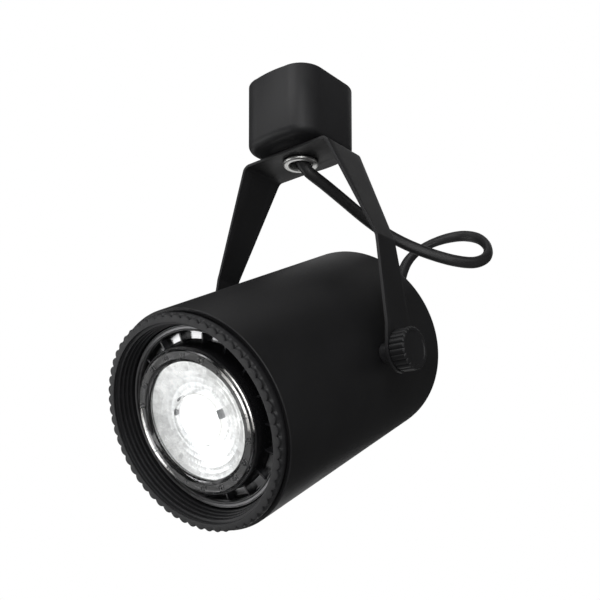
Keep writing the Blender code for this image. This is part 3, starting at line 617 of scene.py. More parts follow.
CORD_WIDTH = 5.0
CORD_THICKNESS = 4.1
CORD_STATIONS = 220
CORD_ROUTE = (
    (0.0, 0.0, -24.0), (0.0, 0.0, -29.5), (0.5, 0.6, -34.0), (2.2, 3.0, -38.0),
    (4.8, 9.5, -41.8), (8.0, 18.5, -47.0), (11.8, 28.0, -53.0), (16.4, 36.5, -58.5),
    (22.1, 44.0, -63.0), (29.3, 51.0, -67.0), (36.8, 57.5, -70.0), (42.4, 64.5, -70.3),
    (44.4, 72.0, -66.4), (42.0, 78.8, -59.4), (36.0, 82.8, -52.6), (28.0, 83.6, -48.9),
    (20.0, 81.8, -48.6), (12.8, 79.4, -50.2), (7.0, 76.6, -53.3), (3.2, 73.5, -58.5),
    (1.2, 71.2, -65.5), (0.5, 69.6, -73.0), (0.2, 67.2, -80.2), (0.0, 62.8, -87.4),
    (0.0, 56.4, -93.5), (0.0, 51.0, -96.2), (0.0, 46.5, -98.4), (0.0, 40.0, -101.7),
    (0.0, 33.5, -104.9),
)
# Which way the cord's wide side faces: (share of the route, direction)
CORD_TWIST = (
    (0.0, (0.9, 0.3, 0.3)),
    (0.25, (0.6, 0.2, 0.75)),
    (0.5, (0.1, -0.6, 0.8)),
    (0.7, (0.3, 0.8, 0.5)),
    (1.0, (1.0, 0.0, 0.0)),
)


def smooth_route(route, count):
    """Evenly spaced points on a smooth curve through the route's own points."""
    route = [Vector(point) for point in route]
    padded = [2 * route[0] - route[1]] + route + [2 * route[-1] - route[-2]]
    fine = []
    for before, start, end, after in zip(padded, padded[1:], padded[2:], padded[3:]):
        for step in range(16):
            t = step / 16
            square = 2 * before - 5 * start + 4 * end - after
            cube = 3 * start - before - 3 * end + after
            fine.append(0.5 * (2 * start + (end - before) * t + square * t * t + cube * t**3))
    fine.append(route[-1])
    lengths = distances(fine)
    whole = lengths[-1]
    return [between(whole * index / (count - 1), lengths, fine) for index in range(count)], whole


def wide_direction(share):
    """The cord's wide side at that share of its length, eased from one direction to the next."""
    for (low, first), (high, second) in zip(CORD_TWIST, CORD_TWIST[1:]):
        if share <= high:
            part = (share - low) / (high - low)
            return Vector(first).lerp(Vector(second), part * part * (3 - 2 * part))
    return Vector(CORD_TWIST[-1][1])


def make_cord():
    """A flat-oval twin-core cord, with a shallow groove along each broad side."""
    points, length = smooth_route(CORD_ROUTE, CORD_STATIONS)
    section = []
    for across, through in circle(1.0, 28):
        groove = 0.07 * math.exp(-((across / 0.3) ** 2))
        section.append((across * CORD_WIDTH / 2, through * (1.0 - groove) * CORD_THICKNESS / 2))
    loops = []
    for index, point in enumerate(points):
        before = points[max(index - 1, 0)]
        after = points[min(index + 1, len(points) - 1)]
        tangent = (after - before).normalized()
        wide = wide_direction(index / (len(points) - 1))
        wide = (wide - tangent * wide.dot(tangent)).normalized()
        thin = tangent.cross(wide)
        loops.append([point + wide * across + thin * through for across, through in section])
    cord = skin("power_cord", loops)
    smooth(cord, 60.0)
    cord.data.materials.append(materials["cord_sheath"])
    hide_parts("cord")
    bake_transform(cord)


# --- adapter ---

ADAPTER_CORNER = 10.5
ADAPTER_BOW = 0.6
ADAPTER_DRAFT = 0.35
ADAPTER_WALL = 2.0
ADAPTER_FILLET = 3.0
ADAPTER_FLOOR = 2.3
ADAPTER_BORE = 6.0
LID_THICKNESS = 1.7
BOSS_DROP = 1.0
BOSS_WIDE = 13.6
BOSS_NARROW = 9.8
LID_SCREW_PLACES = ((10.5, -11.5), (-10.5, 11.5))


def adapter_loop(inset, height):
    """The adapter's plan at that inset: flat sides, bowed front and back, large round corners."""
    half_x = ADAPTER_HALF_X - inset
    half_y = ADAPTER_HALF_Y - inset
    corner = ADAPTER_CORNER - inset
    flat_x = half_x - corner
    flat_y = half_y - corner
    points = []
    for sign_x, sign_y, start in ((1, 1, 0), (-1, 1, 90), (-1, -1, 180), (1, -1, 270)):
        for number in range(13):
            angle = math.radians(start + 90 * number / 12)
            x = sign_x * flat_x + corner * math.cos(angle)
            points.append((x, sign_y * flat_y + corner * math.sin(angle), height))
        if start in (0, 180):
            for number in range(1, 8):
                part = 1 - 2 * number / 8
                bow = ADAPTER_BOW * (1 - part * part)
                points.append((sign_x * flat_x * part, sign_y * (half_y + bow), height))
        else:
            for number in range(1, 6):
                points.append((sign_x * half_x, sign_y * flat_y * (1 - 2 * number / 6), height))
    return points


def ring_like(loop, radius, height):
    """A circle with one point for each of the loop's, in the same directions."""
    ring = []
    for x, y, _ in loop:
        angle = math.atan2(y, x)
        ring.append((radius * math.cos(angle), radius * math.sin(angle), height))
    return ring


def make_adapter_housing():
    """The moulded box: rounded corners, drafted walls, a rounded bottom and a domed boss under it."""
    plan = adapter_loop(0.0, 0.0)
    bottom = ADAPTER_BOTTOM
    face = bottom - BOSS_DROP
    bore_top = ring_like(plan, ADAPTER_BORE, bottom + ADAPTER_FLOOR)
    lip = ((1.0, -2.0), (1.0, -0.3), (0.75, 0.0), (0.35, 0.0), (0.12, -0.08), (0.0, -0.35))
    loops = [bore_top, adapter_loop(ADAPTER_WALL, bottom + ADAPTER_FLOOR)]
    loops.append(adapter_loop(ADAPTER_WALL, -2.0))
    loops += [adapter_loop(inset, height) for inset, height in lip]
    for number in range(9):
        angle = math.radians(90 * number / 8)
        inset = ADAPTER_DRAFT + ADAPTER_FILLET * (1 - math.cos(angle))
        loops.append(adapter_loop(inset, bottom + ADAPTER_FILLET * (1 - math.sin(angle))))
    loops.append(adapter_loop(4.4, bottom))
    for number in range(9):
        part = number / 8
        drop = BOSS_DROP * (part * part * (3 - 2 * part))
        radius = BOSS_WIDE + (BOSS_NARROW - BOSS_WIDE) * part
        loops.append(ring_like(plan, radius, bottom - drop))
    loops += [ring_like(plan, BOSS_NARROW - 0.3, face), ring_like(plan, ADAPTER_BORE + 0.3, face)]
    loops.append(ring_like(plan, ADAPTER_BORE, face + 0.3))
    housing = skin("adapter_shell", loops, closed=True)
    window = block("latch_window", (5.0, 3.9, 4.2), (-20.0, 0.0, -12.2), edge=0.5)
    cut(housing, window)
    dress(housing, "black_plastic", "adapter", "adapter_housing")


def make_adapter_lid():
    """The lid, with openings for the contact tower, the latch, the ground blade and two screws."""
    outline = [(x, y) for x, y, _ in adapter_loop(1.3, 0.0)]
    holes = [rectangle(9.0, 5.6, 0.8), rectangle(1.4, 3.9, 0.4, (LATCH_X, 0.0))]
    holes.append(rectangle(0.8, 2.4, 0.3, (12.6, 0.0)))
    holes += [circle(3.05, 28, place) for place in LID_SCREW_PLACES]
    lid = slab("adapter_cover", [outline, *holes], -LID_THICKNESS, -0.02, edge=0.2)
    dress(lid, "black_plastic", "adapter", "adapter_lid")


def cross_recess(name, matrix, size, depth):
    """Two crossed bars, to cut the slots that a cross-head screwdriver fits."""
    half = (size, size * 0.24, depth)
    arms = []
    for turn in (0.0, math.pi / 2):
        arm = block(f"{name}_arm_{len(arms)}", half, (0.0, 0.0, 0.0), matrix @ spin(turn), 0.05)
        arms.append(arm)
    return arms


def make_lid_screws():
    """Countersunk screws with their heads below the lid's face."""
    shank = 1.25
    profile = [(0.0, -0.15), (2.55, -0.15, 0.15), (shank, -1.45, 0.1), (shank, -9.8), (0.0, -11.5)]
    for number, (x, y) in enumerate(LID_SCREW_PLACES, 1):
        matrix = shift(x, y, 0.0) @ spin(0.4 * number)
        screw = revolve(f"cover_screw_{number}", rounded(profile, 0.1, False), 40, matrix, False)
        cut(screw, *cross_recess("recess", matrix, 1.5, 0.8))
        dress(screw, "zinc_steel", "adapter", f"lid_screw_{number}")


def make_contact_tower():
    """The contact tower, with a pair of moulded grooves on each side."""
    right = [(10.5, -4.4), (10.5, -2.1), (5.0, -2.1, 0.5), (5.0, 5.2, 0.6), (7.6, 5.2), (7.6, 6.8)]
    right.append((6.2, 7.8, 0.8))
    outline = rounded(right + mirrored(right), 0.3)
    tower = settle(slab("contact_tower", [outline], -4.0, 4.0), UPRIGHT)
    grooves = []
    for side in (-1, 1):
        for height in (0.6, 3.0):
            grooves.append(block("groove", (0.5, 6.0, 0.8), (side * 5.2, 0.0, height), edge=0.1))
    cut(tower, *grooves)
    dress(tower, "grey_plastic", "adapter", "contact_carrier")


def make_contacts():
    """Spring contacts: bent strips 0.6 mm thick and 4 mm wide, each with a bulge that touches the rail."""
    blade = [(4.35, -11.0), (4.95, -11.0), (4.95, 0.9, 0.8), (6.35, 2.9, 0.7), (6.35, 3.7, 0.7)]
    blade += [(4.95, 5.7, 0.8), (4.95, 6.8), (4.35, 6.8), (4.35, 5.5, 0.8), (5.7, 3.5, 0.4)]
    blade += [(5.7, 3.1, 0.4), (4.35, 1.1, 0.8)]
    sideways = spin(math.pi / 2) @ UPRIGHT
    for name, side in (("contact_live", 1), ("contact_neutral", -1)):
        outline = rounded([(side * point[0], *point[1:]) for point in blade], 0.12)
        spring = slab(f"{name}_spring", [outline], -2.0, 2.0, sideways, 0.1)
        dress(spring, "contact_copper", "adapter", name)
    ground = [(12.25, -11.0), (12.85, -11.0), (12.85, 1.0, 0.6), (14.15, 2.8, 0.6), (12.85, 4.6)]
    ground += [(12.25, 4.6), (13.3, 2.8, 0.4), (12.25, 1.2, 0.6)]
    spring = slab("contact_ground_spring", [rounded(ground, 0.12)], -2.0, 2.0, UPRIGHT, 0.1)
    dress(spring, "contact_copper", "adapter", "contact_ground")


def make_latch():
    """The sliding latch, whose thumb tab has four grooves across its sloping top."""
    left, right, tip = LATCH_X - 1.0, LATCH_X + 1.0, LATCH_X - 6.35
    outline = [(left, 3.2, 0.5), (right, 3.2, 0.5), (right, -20.0), (left, -20.0)]
    outline += [(left, -12.0), (tip, -12.0, 0.5), (tip, -9.4, 0.8), (left, -8.6, 0.6)]
    latch = settle(slab("latch_slider", [rounded(outline, 0.3)], -3.5, 3.5), UPRIGHT)
    grooves = []
    for number in range(4):
        place = (tip + 0.75 + 0.95 * number, 0.0, -9.0 + 0.14 * number)
        grooves.append(block("thumb_groove", (0.2, 3.0, 0.55), place, edge=0.08))
    cut(latch, *grooves)
    dress(latch, "grey_plastic", "latch", "release_latch")


def make_release_spring():
    """The coil under the latch, with closed end turns. It shortens as the latch is pulled."""
    low, high = SPRING_ENDS
    radius, wire = 1.5, 0.27
    turns, closed_turns = 5.5, 0.8
    count = int(turns * 22)
    middle = Vector((LATCH_X, 0.0, low + wire))
    loops = []
    for index in range(count + 1):
        turned = turns * index / count
        angle = 2 * math.pi * turned
        rise = min(1.0, max(0.0, (turned - closed_turns) / (turns - 2 * closed_turns)))
        outward = Vector((math.cos(angle), math.sin(angle), 0.0))
        centre = middle + outward * radius + UP * (high - low - 2 * wire) * rise
        section = circle(wire, 10)
        loops.append([centre + outward * across + UP * along for across, along in section])
    spring = skin("release_coil", loops)
    dress(spring, "zinc_steel", "adapter", "release_spring", angle=60.0)
    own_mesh(spring)


def make_stem():
    """The hollow nickel stem with its rolled flange under the yoke."""
    profile = [(4.72, -22.0), (5.58, -22.0), (5.58, -34.0, 0.1), (7.2, -34.0, 0.3), (7.45, -34.5, 0.4)]
    profile += [(7.3, -35.2, 0.6), (6.5, -35.5, 0.7), (5.1, -35.48, 0.5), (4.72, -35.0, 0.3)]
    stem = revolve("swivel_tube", rounded(profile, 0.1, step=10.0), 96)
    dress(stem, "nickel", "adapter", "swivel_stem", angle=50.0)


# --- yoke ---

SHEET = 1.2
PLATE_HALF_X = 21.5
PLATE_HALF_Y = 10.8
KNEE = (41.1, -77.6)
KNEE_HALF_Y = 5.6
KNEE_ROUND = 30.0
PAD_X = 45.6
PAD_TOP = 9.0
EYE_RADIUS = 8.05
BEND_RADIUS = 3.2
STEM_HOLE = 5.9
STUD_HOLE = 2.8


def yoke_centreline():
    """The strip's middle line in the XZ plane, as dense points with their distance from the middle."""
    tilt_z = TILT_PLACE.z / MM
    mid_z = PLATE_TOP - SHEET / 2
    right = [(0.0, mid_z), (PLATE_HALF_X, mid_z, BEND_RADIUS), (*KNEE, BEND_RADIUS)]
    right += [(PAD_X, tilt_z + PAD_TOP, BEND_RADIUS), (PAD_X, tilt_z - EYE_RADIUS - 1.0)]
    path = rounded(right, BEND_RADIUS, False, 7.0)
    return path, distances(path)


def place_along(path, lengths, distance):
    """The (x, z) point of the strip's middle line at a signed distance from the middle."""
    x = between(abs(distance), lengths, [point[0] for point in path])
    z = between(abs(distance), lengths, [point[1] for point in path])
    return math.copysign(x, distance), z


def distance_at(path, lengths, height):
    """How far along the strip its middle line passes that height, past the flat plate."""
    return between(-height, [-point[1] for point in path[1:]], lengths[1:])


def make_yoke():
    """One strip cut flat with its holes, then bent: plate, knees and round eyes."""
    path, lengths = yoke_centreline()
    shoulder = distance_at(path, lengths, PLATE_TOP - 2.0)
    knee = distance_at(path, lengths, KNEE[1])
    eye = distance_at(path, lengths, TILT_PLACE.z / MM)
    half = [(shoulder, -PLATE_HALF_Y, 3.5), (knee, -KNEE_HALF_Y, KNEE_ROUND)]
    for number in range(25):
        angle = math.radians(-90 + 180 * number / 24)
        half.append((eye + EYE_RADIUS * math.cos(angle), EYE_RADIUS * math.sin(angle), 0.0))
    half += [(knee, KNEE_HALF_Y, KNEE_ROUND), (shoulder, PLATE_HALF_Y, 3.5)]
    outline = rounded(half + mirrored(half), 0.0, True, 6.0)
    holes = [circle(STEM_HOLE, 40)]
    holes += [circle(STUD_HOLE, 28, (side * eye, 0.0)) for side in (1, -1)]
    mesh = filled("yoke_strip", [outline, *holes])
    shape = bmesh.new()
    shape.from_mesh(mesh)
    stations = [*lengths[1:-1], shoulder + 6.0, knee - 12.0, eye]
    for station in stations:
        for side in (-1, 1):
            everything = [*shape.verts, *shape.edges, *shape.faces]
            place = (side * station * MM, 0.0, 0.0)
            bmesh.ops.bisect_plane(shape, geom=everything, plane_co=place, plane_no=(1, 0, 0), dist=1e-8)
    for vert in shape.verts:
        x, z = place_along(path, lengths, vert.co.x / MM)
        vert.co = Vector((x * MM, vert.co.y, z * MM))
    shape.to_mesh(mesh)
    shape.free()
    yoke = new_object("yoke_strip", mesh)
    sheet = yoke.modifiers.new("sheet", "SOLIDIFY")
    sheet.thickness = SHEET * MM
    sheet.offset = 0.0
    sheet.use_even_offset = True
    bevel(yoke, 0.22, 2, 50.0)
    dress(yoke, "black_paint", "yoke", "yoke_bracket", angle=40.0)


# --- head ---

# Where the strain relief and the screws sit, just clear of the can's back
BACK_SEAT = -42.3
BACK_SCREW_OFFSET = 21.0


def make_can():
    """The spun can: a thin front edge, a rolled back corner and the gland's hole."""
    back, front, radius = extent("can_body", HEAD)
    wall, hole = 1.5, 6.6
    inside = radius - wall
    profile = [(inside, front, 0.25), (radius, front, 0.45), (radius, back, 3.5)]
    profile += [(hole, back, 0.2), (hole, back + wall, 0.2), (inside, back + wall, 2.0)]
    can = revolve("can_shell", rounded(profile, 0.3, step=9.0), 192, HEAD)
    dress(can, "black_paint", "head", "can_body", angle=45.0)


def make_gland():
    """The strain relief: a flanged foot and a slotted, tapered, flexible nose."""
    bore, hub = 2.9, 6.2
    nose, end = -47.0, -62.3
    ribs, pitch, groove = 6, 2.5, 0.75
    profile = [(bore, -36.5), (hub, -36.5), (hub, BACK_SEAT), (8.4, BACK_SEAT, 0.3), (8.6, -43.6, 0.5)]
    profile += [(8.2, -45.2, 0.6), (5.9, -46.2, 0.5)]
    for rib in range(ribs):
        height = nose - pitch * rib
        radius = 5.4 - 0.3 * rib
        profile += [(radius, height, 0.3), (radius - 0.1, height - 1.3, 0.3)]
        profile.append((radius - groove, height - 1.55, 0.15))
        profile.append((radius - groove, height - 2.25, 0.15))
    profile += [(3.5, nose - pitch * ribs, 0.3), (3.4, end, 0.4), (bore, end, 0.2)]
    gland = revolve("strain_relief", rounded(profile, 0.2, step=20.0), 64, HEAD)
    dress(gland, "black_rubber", "head", "cord_gland")


def make_back_screws():
    """Pan-head screws through the can's back, whose crossed slots aren't lined up."""
    shank, head = 1.5, 3.15
    seat = BACK_SEAT - 0.02
    crown = -44.1
    profile = [(0.0, -36.3), (shank, -36.3), (shank, seat), (head, seat, 0.2), (head, -43.1, 0.4)]
    profile += [(2.4, crown, 0.8), (0.0, crown - 0.25)]
    for number, side in enumerate((1, -1), 1):
        matrix = HEAD @ shift(0.0, side * BACK_SCREW_OFFSET, 0.0)
        screw = revolve(f"back_screw_head_{number}", rounded(profile, 0.1, False), 48, matrix, False)
        slots = matrix @ shift(0.0, 0.0, crown) @ spin(0.7 * number)
        cut(screw, *cross_recess("recess", slots, 1.7, 0.9))
        dress(screw, "zinc_steel", "head", f"back_screw_{number}")


def make_spacers():
    """Spacers between the can and the arms."""
    bore, radius = STUD_HOLE, 3.65
    near, far = 39.35, 44.65
    profile = [(bore, near), (radius, near, 0.2), (radius, far, 0.2), (bore, far)]
    for word, side in (("right", 1), ("left", -1)):
        matrix = HEAD @ spin(side * math.pi / 2, "Y")
        spacer = revolve(f"arm_spacer_{word}", rounded(profile, 0.2), 56, matrix)
        dress(spacer, "black_plastic", "head", f"pivot_spacer_{word}")


def make_knobs():
    """Fluted clamping knobs: rounded flutes, a rolled face edge and a dished middle."""
    flutes, flute_depth = 22, 0.5
    bore, bore_depth = 2.7, 4.1
    radius = 7.78
    outline = [(0.0, bore_depth), (bore, bore_depth), (bore, 0.0), (radius, 0.0, 0.15)]
    outline += [(radius, 5.5, 0.4), (7.2, 6.0, 0.5), (6.3, 5.98, 0.3), (5.9, 5.5, 0.5), (0.0, 5.35)]

    def wave(reach, _height, angle):
        """Cuts the flutes into whatever lies outside the face's rolled edge."""
        depth = flute_depth * min(1.0, max(0.0, (reach - 6.6) / 0.9))
        rib = abs(math.sin(flutes * angle / 2)) ** 0.5
        return reach - depth * (1 - rib)

    for word in ("right", "left"):
        axis = Vector(JOINTS[f"{word}_knob_turn"]["axis"])
        place = Vector(JOINTS[f"{word}_knob_turn"]["pos_m"])
        matrix = frame_of(place, FORWARD, axis)
        path = rounded(outline, 0.15, False, 15.0)
        knob = revolve(f"grip_knob_{word}", path, flutes * 14, matrix, False, wave)
        dress(knob, "knob_plastic", f"{word}_knob", f"knob_{word}", angle=50.0)


GRIP_TEETH = 60
GRIP_DEPTH = 1.05
BAFFLE_RIDGES = 4


def baffle(low, top):
    """The bezel's inner wall from low to top: a stepped cone, with a groove behind each ridge."""
    narrow, wide = 32.6, 34.2
    groove = 1.5
    pitch = (top - low) / BAFFLE_RIDGES
    ridges = []
    for number in range(BAFFLE_RIDGES):
        height = low + pitch * number
        radius = narrow + (wide - narrow) * number / BAFFLE_RIDGES
        ridges.append((radius, height + 0.08 * pitch, 0.2))
        ridges.append((radius + 0.15, height + 0.5 * pitch, 0.2))
        ridges.append((radius + groove, height + 0.6 * pitch, 0.2))
        ridges.append((radius + groove, height + 0.92 * pitch, 0.2))
    return ridges


def make_bezel():
    """The screwed front ring: a scalloped grip, a flange and a neck round the baffle."""
    _, front, flange = extent("bezel_ring", HEAD)
    tip = flange - 0.25
    neck, inside = 37.1, 33.2
    end = front - 10.6
    body = [(34.6, front, 0.3), (tip, front, 0.3), (tip, front - 0.5), (tip, front - 1.0)]
    body += [(flange - 0.05, front - 1.5, 0.1), (flange - 0.02, front - 2.9, 0.3)]
    body += [(neck, front - 2.95, 0.1), (neck, end, 0.5), (inside, end, 0.3)]
    body.append((inside, front - 7.2, 0.2))
    root = 36.2
    grip_end = front - 1.6

    def wave(radius, height, angle):
        """Cuts the scallops, which run out towards the flange and towards the face's inner edge."""
        if height < grip_end or radius < root:
            return radius
        bump = abs(math.sin(GRIP_TEETH * angle / 2)) ** 0.8
        reach = min(1.0, radius - root) * min(1.0, (height - grip_end) / 0.7)
        return radius - GRIP_DEPTH * reach * (1 - bump)

    profile = rounded(body + baffle(front - 7.1, front - 0.7), 0.2, True, 16.0)
    bezel = revolve("bezel_grip", profile, GRIP_TEETH * 12, HEAD, True, wave)
    dress(bezel, "bezel_plastic", "bezel", "bezel_ring", angle=38.0)


# --- lamp ---

FIN_COUNT = 18
FIN_OFFSET = math.radians(8.5)


def make_heatsink():
    """The lamp's cast body: a hub that widens forward, with radial fins."""
    hub = [(0.0, 39.5), (22.6, 39.5, 0.5), (23.4, 57.2, 0.2), (25.35, 57.2, 0.1), (25.35, 61.3, 0.2)]
    hub += [(26.0, 61.0, 0.3), (26.5, 54.0, 0.5), (27.0, 48.0, 3.0), (15.9, 14.4, 0.5)]
    hub += [(13.9, 14.4, 0.3), (20.2, 36.5, 1.0), (0.0, 36.5)]
    pieces = [revolve("hub", rounded(hub, 0.3, False), 96, HEAD, False)]
    outline = [(26.0, 56.7), (29.9, 56.7, 0.4), (29.9, 50.5, 1.5), (17.6, 17.0, 0.8), (15.4, 17.0)]
    outline.append((26.0, 46.5))
    for number in range(FIN_COUNT):
        turn = spin(FIN_OFFSET + 2 * math.pi * number / FIN_COUNT)
        fin = slab("fin", [rounded(outline, 0.2)], -0.38, 0.38, edge=0.14)
        pieces.append(settle(fin, turn @ UPRIGHT, HEAD))
    heatsink = merge("finned_body", pieces)
    dress(heatsink, "black_aluminium", "lamp", "lamp_heatsink", angle=30.0)
    floor = [(26.7, 54.4, 0.2), (30.9, 53.8, 0.2), (30.9, 52.8, 0.2), (26.7, 52.8, 0.2)]
    web = revolve("slot_floor", rounded(floor, 0.2), 120, HEAD)
    dress(web, "bare_aluminium", "lamp")


def make_lamp_rim():
    """The lamp's outer hoop, whose inner wall runs back between the fin ends."""
    rim = [(30.1, 56.5, 0.2), (30.5, 57.05, 0.2), (30.9, 56.7, 0.3), (31.7, 56.75, 0.4)]
    rim += [(32.1, 57.1, 0.2), (32.5, 56.7, 0.3), (32.5, 53.6, 0.4), (32.0, 47.0, 0.3)]
    rim += [(31.2, 47.0, 0.2), (31.2, 55.4, 0.4), (30.1, 55.6, 0.2)]
    hoop = revolve("lamp_hoop", rounded(rim, 0.2), 160, HEAD)
    dress(hoop, "grey_rim", "lamp", "lamp_rim")


def make_lens_ring():
    """The clear retaining ring, with pairs of small moulded tabs round it."""
    ring = [(21.1, 57.5, 0.2), (21.1, 61.2, 0.3), (22.1, 62.1, 0.3), (24.6, 62.2, 0.3)]
    ring += [(25.1, 61.6, 0.3), (25.1, 57.5, 0.2)]
    hoop = revolve("lens_hoop", rounded(ring, 0.2, step=12.0), 160, HEAD)
    dress(hoop, "smoky_plastic", "lamp", "lens_ring", angle=40.0)
    pieces = []
    for number in range(FIN_COUNT):
        middle = FIN_OFFSET + 2 * math.pi * (number + 0.5) / FIN_COUNT
        for side in (-1, 1):
            tab = slab("tab", [rectangle(0.75, 0.14, 0.1, (23.2, 0.0))], 61.6, 62.75, edge=0.08)
            pieces.append(settle(tab, spin(middle + side * 0.024), HEAD))
    dress(merge("lens_tabs", pieces), "tab_plastic", "lamp")


def make_lens():
    """The lens: a shallow dome with a raised middle and a flat back."""
    edge, back = 20.85, 59.5
    profile = [(0.0, 61.7), (8.2, 61.6, 0.6), (9.4, 61.2, 0.6), (14.0, 61.08), (edge, 60.65, 0.2)]
    profile += [(edge, back, 0.2), (0.0, back)]
    lens = revolve("front_lens", rounded(profile, 0.0, False), 96, HEAD, False)
    dress(lens, "clear_plastic", "lamp", "lamp_lens")


FACET_RINGS = 6
FACET_SECTORS = 72


def facet_place(ring, sector, row, column):
    """A point of a slightly pillowed facet. Row and column run from 0 to 1 across it."""
    part = (ring + row) / FACET_RINGS
    turn = 2 * math.pi * (sector + column + 0.5 * (ring % 2)) / FACET_SECTORS
    puff = 0.1 * math.sin(math.pi * row) * math.sin(math.pi * column)
    radius = 20.7 - 12.0 * part - puff
    height = 59.2 - 1.7 * math.sin(part * math.pi / 2) + puff
    return Vector((radius * math.cos(turn), radius * math.sin(turn), height)) * MM


def facet_faces(shape, ring, sector):
    """One facet, as a grid of three faces by three."""
    steps = [number / 3 for number in range(4)]
    grid = [[shape.verts.new(facet_place(ring, sector, row, column)) for column in steps] for row in steps]
    faces = []
    for low, high in zip(grid, grid[1:]):
        for number in range(3):
            corners = (low[number], low[number + 1], high[number + 1], high[number])
            faces.append(shape.faces.new(corners))
    return faces


def make_reflector():
    """A bowl of facets in rings round the light source. Each facet carries a random number, which sets the
    strength of its painted glow.
    """
    chance = random.Random(7)
    shape = bmesh.new()
    layer = shape.faces.layers.float.new("facet")
    for ring in range(FACET_RINGS):
        for sector in range(FACET_SECTORS):
            value = chance.random()
            for face in facet_faces(shape, ring, sector):
                face[layer] = value
    bmesh.ops.remove_doubles(shape, verts=shape.verts, dist=1e-6)
    bowl_piece = new_object("faceted_reflector", to_mesh("faceted_reflector", shape), HEAD)
    wall = bowl_piece.modifiers.new("wall", "SOLIDIFY")
    wall.thickness = 0.5 * MM
    wall.offset = -1.0
    dress(bowl_piece, "reflector_mirror", "lamp", "reflector", angle=20.0)


def make_led():
    """The light source: a low dome in a white collar, with small clips beside it."""
    dome = [(0.0, 59.2), (3.0, 59.15), (5.6, 59.0), (7.4, 58.7), (8.2, 58.2, 0.5)]
    dome += [(DOME_RADIUS, 57.6), (DOME_RADIUS, 55.6, 0.3), (5.6, 41.4), (12.0, 41.3, 0.3)]
    dome += [(12.0, 39.8, 0.3), (0.0, 39.8)]
    led = revolve("light_source", rounded(dome, 0.0, False), 72, HEAD, False)
    dress(led, "led_phosphor", "lamp", "led_module")
    clips = []
    for degrees, radius, half in ((4, 10.1, (0.9, 1.5)), (128, 9.9, (0.5, 0.8)), (158, 9.8, (0.5, 0.8))):
        clip = slab("clip", [rectangle(*half, 0.2, (radius, 0.0))], 57.6, 58.8, edge=0.12)
        clips.append(settle(clip, spin(math.radians(degrees)), HEAD))
    dress(merge("source_clips", clips), "grey_plastic", "lamp")


# --- stage ---

FLOOR_Z = -1.3
FLOOR_GLOW = 0.72


def stage_material(name, colour):
    graph = Graph(name)
    clouds = graph.noise(2.0, 3.0)
    tone = graph.vary(clouds, scaled(colour, 0.985), colour)
    seen = graph.add("ShaderNodeLightPath").outputs["Is Camera Ray"]
    glow = graph.math("MULTIPLY", seen, FLOOR_GLOW)
    graph.shade(Base_Color=tone, Roughness=graph.vary(clouds, 0.75, 0.85))
    graph.shade(Emission_Color=tone, Emission_Strength=glow)
    return graph.material


def make_floor():
    shape = bmesh.new()
    bmesh.ops.create_grid(shape, x_segments=2, y_segments=2, size=3.0)
    floor = new_object("floor", to_mesh("floor", shape), Matrix.Translation((0.0, 0.0, FLOOR_Z)))
    floor.data.materials.append(stage_material("pale_floor", (0.93, 0.93, 0.93)))


LIGHT_TARGET = Vector((0.0, 0.0, -0.1))
# name, place, width and height in metres, power
LIGHTS = (
    ("key", (-0.75, -0.75, 0.45), (0.7, 0.7), 1.3),
    ("front", (-0.1, -0.85, 0.7), (0.7, 0.7), 3.0),
    ("above_camera", (0.68, -0.76, 0.34), (0.4, 0.7), 2.3),
    ("low_left", (-0.75, -0.56, -0.5), (0.6, 0.5), 1.2),
    ("low_back", (-0.66, 0.79, -0.46), (0.7, 0.5), 0.8),
    ("top", (0.0, 0.0, 1.0), (0.8, 0.8), 0.8),
    ("right", (1.0, -0.3, 0.1), (0.6, 0.8), 1.0),
    ("right_back", (0.85, 0.65, -0.1), (0.6, 1.2), 0.25),
    ("beside_camera", (0.62, -0.74, -0.34), (0.4, 0.4), 1.8),
    ("left_glint", (-0.8, -0.75, -0.37), (0.42, 0.25), 0.75),
    ("under_left", (-0.95, 0.3, -0.5), (0.5, 0.5), 0.6),
    ("behind", (-0.3, 0.95, 0.5), (0.9, 0.9), 1.1),
)
BACKDROP_LIGHT = 1.0
SOFT_LIGHT = 0.045


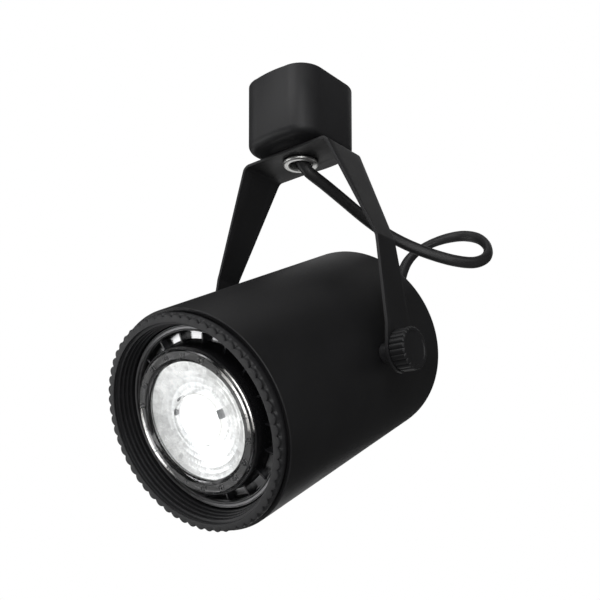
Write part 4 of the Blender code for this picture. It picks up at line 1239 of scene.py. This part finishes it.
def make_lights():
    for name, place, size, power in LIGHTS:
        data = bpy.data.lights.new(name, "AREA")
        data.shape = "RECTANGLE"
        data.size, data.size_y = size
        data.energy = power
        light = new_object(name, data)
        light.location = place
        light.rotation_euler = (LIGHT_TARGET - Vector(place)).to_track_quat("-Z", "Y").to_euler()


def white_background(node, strength):
    node.inputs["Color"].default_value = (1.0, 1.0, 1.0, 1.0)
    node.inputs["Strength"].default_value = strength
    return node.outputs["Background"]


def make_world():
    """A white backdrop for the camera, and a much weaker white light for everything else."""
    world = bpy.data.worlds.new("studio")
    bpy.context.scene.world = world
    world.use_nodes = True
    tree = world.node_tree
    backdrop = white_background(tree.nodes["Background"], BACKDROP_LIGHT)
    soft = white_background(tree.nodes.new("ShaderNodeBackground"), SOFT_LIGHT)
    path = tree.nodes.new("ShaderNodeLightPath")
    mixer = tree.nodes.new("ShaderNodeMixShader")
    tree.links.new(path.outputs["Is Camera Ray"], mixer.inputs[0])
    tree.links.new(soft, mixer.inputs[1])
    tree.links.new(backdrop, mixer.inputs[2])
    tree.links.new(mixer.outputs["Shader"], tree.nodes["World Output"].inputs["Surface"])
    bpy.context.scene.view_settings.view_transform = "Standard"


# --- everything ---

adapter_low, adapter_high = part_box("adapter_housing")
ADAPTER_HALF_X = adapter_high.x / MM
ADAPTER_HALF_Y = adapter_high.y / MM - ADAPTER_BOW
ADAPTER_BOTTOM = adapter_low.z / MM + BOSS_DROP
LATCH_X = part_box("release_latch")[1].x / MM - 1.0
SPRING_ENDS = [corner.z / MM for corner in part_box("release_spring")]
PLATE_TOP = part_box("yoke_bracket")[1].z / MM

make_camera()
materials = make_materials()
make_cord()

make_adapter_housing()
make_adapter_lid()
make_lid_screws()
make_contact_tower()
make_contacts()
make_latch()
make_release_spring()
make_stem()
make_yoke()

make_can()
make_gland()
make_back_screws()
make_spacers()
make_knobs()
make_bezel()

make_heatsink()
make_lamp_rim()
make_lens_ring()
make_lens()
make_reflector()
make_led()

slots = {row["node"]: row["material_slot"] for row in frame["record"]["subparts"]}
for node, obj in frame["nodes"].items():
    if not obj.hide_render:
        obj.data.materials.clear()
        obj.data.materials.append(materials[slots[node]])

make_floor()
make_lights()
make_world()
